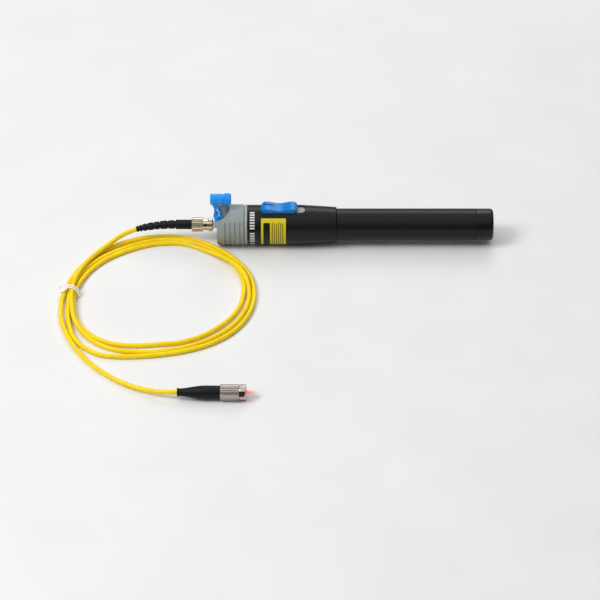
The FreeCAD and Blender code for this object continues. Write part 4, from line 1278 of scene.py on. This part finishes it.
@dataclass
class FarPlug(Plug):
    """Free plug at the cord's far end, with a plain tapered boot."""

    centre: Vector = field(default_factory=lambda: FAR_PLUG)
    radius: float = 5.0
    length: float = 16.0
    knurl: float = 11.4
    window: Window = Window.SQUARE
    window_size: tuple[float, float] = (3.9, 3.4)
    window_middle: float = -2.45
    window_turn: float = 66.0
    teeth: int = 24
    depth: float = 0.36
    boot_radius: float = 4.15
    boot_length: float = 26.1
    collar: float = 2.3

    def outside(self) -> Outline:
        """Long knurl, a groove and a plain rim."""
        end = -self.length + self.knurl + 0.3
        r = self.radius
        return [(-self.length, r - 0.4), (-self.length + 0.4, r), (end - 0.3, r), (end, r - 0.5),
                (end + 0.4, r - 0.5), (end + 0.6, r - 0.15), (-0.4, r - 0.15), (0, r - 0.55)]

    def boot(self) -> bpy.types.Object:
        """Plain sleeve, taper, and a thin collar where the cord enters."""
        start = -self.length - 0.1
        end = -self.length - self.boot_length
        r = self.boot_radius
        outline = [(start, self.core_bore), (start, r - 0.05), (start - 9.0, r), (start - 12.0, r - 0.15),
                   (start - 14.6, r - 0.5), (start - 17.4, r - 0.95), (start - 20.4, r - 1.4),
                   (start - 22.8, r - 1.7), (end + 1.4, self.collar),
                   (end + 1.4, self.collar + 0.3),
                   (end, self.collar + 0.3), (end, self.cord_bore), (-self.length - 4.0, self.cord_bore),
                   (-self.length - 4.0, self.core_bore)]
        boot = Form.lathe(outline, 72)
        boot.soften(0.25, 3, 40, lambda e: all(v.co.yz.length > 1.6 for v in e.verts))
        steps = [start - d for d in (9.0, 12.0, 14.6, 17.4, 20.4, 22.8)]
        blend = [e for e in boot.bm.edges if abs(e.verts[0].co.x - e.verts[1].co.x) < 0.01
                 and any(abs(e.verts[0].co.x - x) < 0.01 for x in steps)]
        boot.round(blend, 0.9, 4)
        return boot.piece("far_boot_plain", BOOT_RUBBER, Body.PEN, self.centre, ["far_boot"], "boot_black")

    def build(self) -> list[bpy.types.Object]:
        """Make the nut and the boot."""
        nut = self.nut_form().piece("far_nut_knurled", SATIN_NICKEL, Body.FAR_BAYONET, self.centre, ["far_nut"],
                                    "satin_nickel")
        return [nut, self.boot()]


# ------------------------------------------------------------------ cord and tie


@dataclass
class PatchCord:
    """Yellow 3 mm patch cord, tied in three loose turns."""

    radius: float = 1.5
    length: float = 1.3
    centre: tuple[float, float] = (-122.5, -58.5)
    first_angle: int = 150
    step: int = 15
    floor: float = 1.55
    lead_in: tuple[Point, ...] = (
        (-137.8, 0.0, 9.5), (-146.2, -0.9, 7.2), (-155.6, -9.8, 5.3), (-164.1, -19.6, 4.6))
    lead_out: tuple[Point, ...] = (
        (-184.0, -66.0, 1.6), (-183.8, -84.0, 1.6), (-176.5, -106.5, 1.6), (-163.5, -128.0, 1.6),
        (-146.5, -144.5, 1.6), (-129.5, -154.5, 2.4), (-116.0, -159.9, 5.0), (-107.5, -159.9, 5.0))
    first_turn: tuple[float, ...] = (
        56.0, 55.5, 55.3, 56.6, 60.2, 62.4, 62.8, 60.6, 58.4, 56.8, 56.6, 57.0, 57.3, 57.4, 57.5,
        57.0, 55.5, 54.0, 54.0, 55.8, 54.2, 52.2, 50.8, 51.0, 51.4, 52.2, 53.8, 55.4)
    second_turn: tuple[float, ...] = (
        58.2, 59.2, 58.2, 54.3, 50.9, 51.3, 51.3, 51.1, 52.1, 53.0, 53.7, 55.2, 56.5, 56.8, 57.5,
        58.7, 57.6, 55.6, 54.0, 54.2, 54.9, 55.4, 56.9, 59.0)
    third_turn: tuple[float, ...] = (
        64.3, 70.3, 71.5, 65.3, 61.4, 60.2, 60.5, 61.1, 61.2, 60.9, 60.7, 60.6, 60.3, 59.9, 60.6,
        61.8, 61.2, 60.4, 59.6, 58.9, 58.4, 58.8, 60.1)

    def heights(self) -> dict[int, float]:
        """Heights where the cord climbs over its own turns or lies on the tie, by total angle."""
        return {150: 4.5, 165: 4.9, 180: 5.3, 195: 4.6, 210: 3.6, 225: 1.9, 360: 1.9, 375: 4.5,
                390: 4.7, 405: 3.0, 525: 1.9, 540: 2.7, 555: 1.9, 885: 1.9, 900: 2.7, 915: 1.9,
                1245: 1.9, 1260: 2.7}

    def route(self) -> list[Point]:
        """Control points of the cord's line, in millimetres.

        Returns:
            The way in, the turns and the way out.
        """
        rise = self.heights()
        points = list(self.lead_in)
        for n, radius in enumerate(self.first_turn + self.second_turn + self.third_turn):
            angle = self.first_angle + self.step * n
            turn = math.radians(angle)
            points.append((self.centre[0] + radius * math.cos(turn), self.centre[1] + radius * math.sin(turn),
                           rise.get(angle, self.floor)))
        return points + list(self.lead_out)

    def build(self) -> bpy.types.Object:
        """Make the cord as one NURBS curve."""
        points = [tuple(Vector(point) * MM) for point in self.route()]
        curve = round_wire("patch_cord", points, self.radius * MM, False, (6, 4))
        curve.materials.append(JACKET.material())
        cord = bpy.data.objects.new("patch_cord", curve)
        bpy.context.collection.objects.link(cord)
        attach(cord, Body.PEN.value)
        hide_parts("cord_lead_in", "cord_coil", "cord_lead_out")
        LOG.info("patch_cord: %d control points", len(points))
        return cord


@dataclass
class TwistTie:
    """White wire wound twice round the strands, with its folded eye outside them."""

    wire: float = 0.6
    gap: float = 2.1
    centre: tuple[float, float] = (-178.6, -58.1)
    half_width: float = 5.5
    low: float = 0.6
    high: float = 7.2
    yaw: float = 9.0
    eye: tuple[Point, ...] = (
        (-1.6, 1.05, 7.3), (-3.4, 1.9, 6.9), (-5.4, 2.3, 6.1), (-7.2, 1.2, 5.2), (-7.6, -0.5, 4.5),
        (-6.9, -2.3, 4.3), (-5.3, -3.1, 4.8), (-3.5, -2.4, 5.4), (-1.8, -1.3, 6.6))

    def build(self) -> bpy.types.Object:
        """Make both turns and the eye as one piece."""
        form = Form()
        w = self.half_width
        for side in (-1, 1):
            y = side * self.gap / 2
            turn = [(-w, y, self.low + 1.6), (-w + 0.5, y, self.low), (0, y, self.low), (w - 0.5, y, self.low),
                    (w + 0.2, y, self.low + 1.6), (w - 0.5, y, self.high - 3.0), (2.6, y, self.high - 0.4),
                    (-0.6, y, self.high + 0.6), (-3.4, y, self.high - 1.4), (-w + 0.1, y, self.high - 3.2)]
            form.add(Form.sweep(turn, self.wire, True))
        form.add(Form.sweep(self.eye, self.wire))
        form.turn(-self.yaw, "Z")
        return form.piece("twist_tie_wires", TIE_PVC, Body.PEN, Vector((*self.centre, 0.0)), ["twist_tie"],
                          "tie_white")


# ------------------------------------------------------------------ what the pen holds


@dataclass
class Insides:
    """Inner parts whose solids are right as they are and only need their finishes."""

    finishes: dict[str, Finish] = field(default_factory=lambda: {
        "ceramic_sleeve": CERAMIC, "laser_module": BRASS, "laser_diode": STEEL, "driver_board": CIRCUIT_BOARD,
        "switch_body": STEEL, "switch_slider": INNER_BLACK, "contact_carrier": INNER_BLACK,
        "positive_contact": BRASS, "front_cell": CELL_SLEEVE, "rear_cell": CELL_SLEEVE,
        "tail_seal": SEAL_RUBBER, "tail_spring": SPRING_STEEL, "spring_disc": SPRING_STEEL,
        # near_core and far_core take a dark steel whose colour is painted shade for the nuts' windows.
        "near_core": WINDOW_SHADE_STEEL, "near_ferrule": CERAMIC, "near_spring": SPRING_STEEL,
        "far_core": WINDOW_SHADE_STEEL, "far_ferrule": LIT_CERAMIC, "far_spring": SPRING_STEEL})

    def build(self) -> None:
        """Give each inner part its finish."""
        for node, finish in self.finishes.items():
            mesh = bpy.data.objects[node].data
            mesh.materials.clear()
            mesh.materials.append(finish.material())
            LOG.info("%s: %s", node, finish.name)


# ------------------------------------------------------------------ studio


@dataclass
class Studio:
    """Pale floor, soft lights and the camera."""

    floor_size: float = 12.0
    camera: Point = (-0.03344, -1.63869, 1.2314)
    tilt: float = 52.0
    view_angle: float = 10.83
    sky: tuple[float, float] = (0.07, 0.9)
    sky_span: tuple[float, float] = (0.35, 0.95)

    def floor(self) -> None:
        """Large pale floor that shows white behind the part and keeps its shadow."""
        mesh = bpy.data.meshes.new("floor")
        bm = bmesh.new()
        bmesh.ops.create_grid(bm, x_segments=1, y_segments=1, size=self.floor_size / 2)
        bm.to_mesh(mesh)
        bm.free()
        graph = Graph("floor_paper")
        cloud = graph.grain(60.0, 2.0)
        graph.into("Base Color", graph.ramp(cloud, [(0.3, "#EDEDED"), (0.7, "#F1F1F1")]))
        graph.set(Roughness=0.8)
        mesh.materials.append(graph.material)
        floor = bpy.data.objects.new("floor", mesh)
        bpy.context.collection.objects.link(floor)

    def lamp(self, name: str, place: Point, size: float, power: float) -> None:
        """One square area lamp aimed at the part.

        Args:
            name: The lamp's name.
            place: Where it hangs, in metres.
            size: Its side, in metres.
            power: Its power, in watts.
        """
        light = bpy.data.lights.new(name, "AREA")
        light.size = size
        light.energy = power
        lamp = bpy.data.objects.new(name, light)
        lamp.location = place
        aim = Vector((-0.04, -0.06, 0.01)) - Vector(place)
        lamp.rotation_euler = aim.to_track_quat("-Z", "Y").to_euler()
        bpy.context.collection.objects.link(lamp)

    def build(self) -> None:
        """Make the floor, lamps, world and camera."""
        self.floor()
        self.lamp("key", (-0.95, -0.45, 1.15), 0.6, 11.0)
        self.lamp("rim", (0.15, 1.1, 0.9), 0.7, 4.5)
        world = bpy.data.worlds.new("studio")
        world.use_nodes = True
        tree = world.node_tree
        way = add_node(tree, "ShaderNodeTexCoord").outputs["Generated"]
        height = add_node(tree, "ShaderNodeSeparateXYZ", links={0: way}).outputs["Z"]
        settings = {"interpolation_type": "SMOOTHSTEP", "From Min": self.sky_span[0],
                    "From Max": self.sky_span[1], "To Min": self.sky[0], "To Max": self.sky[1]}
        level = add_node(tree, "ShaderNodeMapRange", settings, {"Value": height}).outputs[0]
        tree.links.new(level, tree.nodes["Background"].inputs["Strength"])
        tree.nodes["Background"].inputs["Color"].default_value = linear("#FFFFFF")
        bpy.context.scene.world = world
        lens = bpy.data.cameras.new("camera")
        lens.angle = math.radians(self.view_angle)
        lens.clip_end = 50.0
        camera = bpy.data.objects.new("camera", lens)
        camera.location = self.camera
        camera.rotation_euler = (math.radians(self.tilt), 0, 0)
        bpy.context.collection.objects.link(camera)
        scene = bpy.context.scene
        scene.camera = camera
        scene.view_settings.view_transform = "Standard"


def main() -> None:
    """Build the whole part and its studio."""
    logging.basicConfig(level=logging.INFO, format="%(name)s %(message)s")
    Studio().build()
    patch = PatchCord()
    cord = patch.build()
    Head().build()
    Barrel().build()
    SlideSwitch().build()
    BatteryTube().build()
    DustCap().build()
    NearPlug().build()
    far = FarPlug().build()
    tie = TwistTie().build()
    Insides().build()


if __name__ == "__main__":
    main()
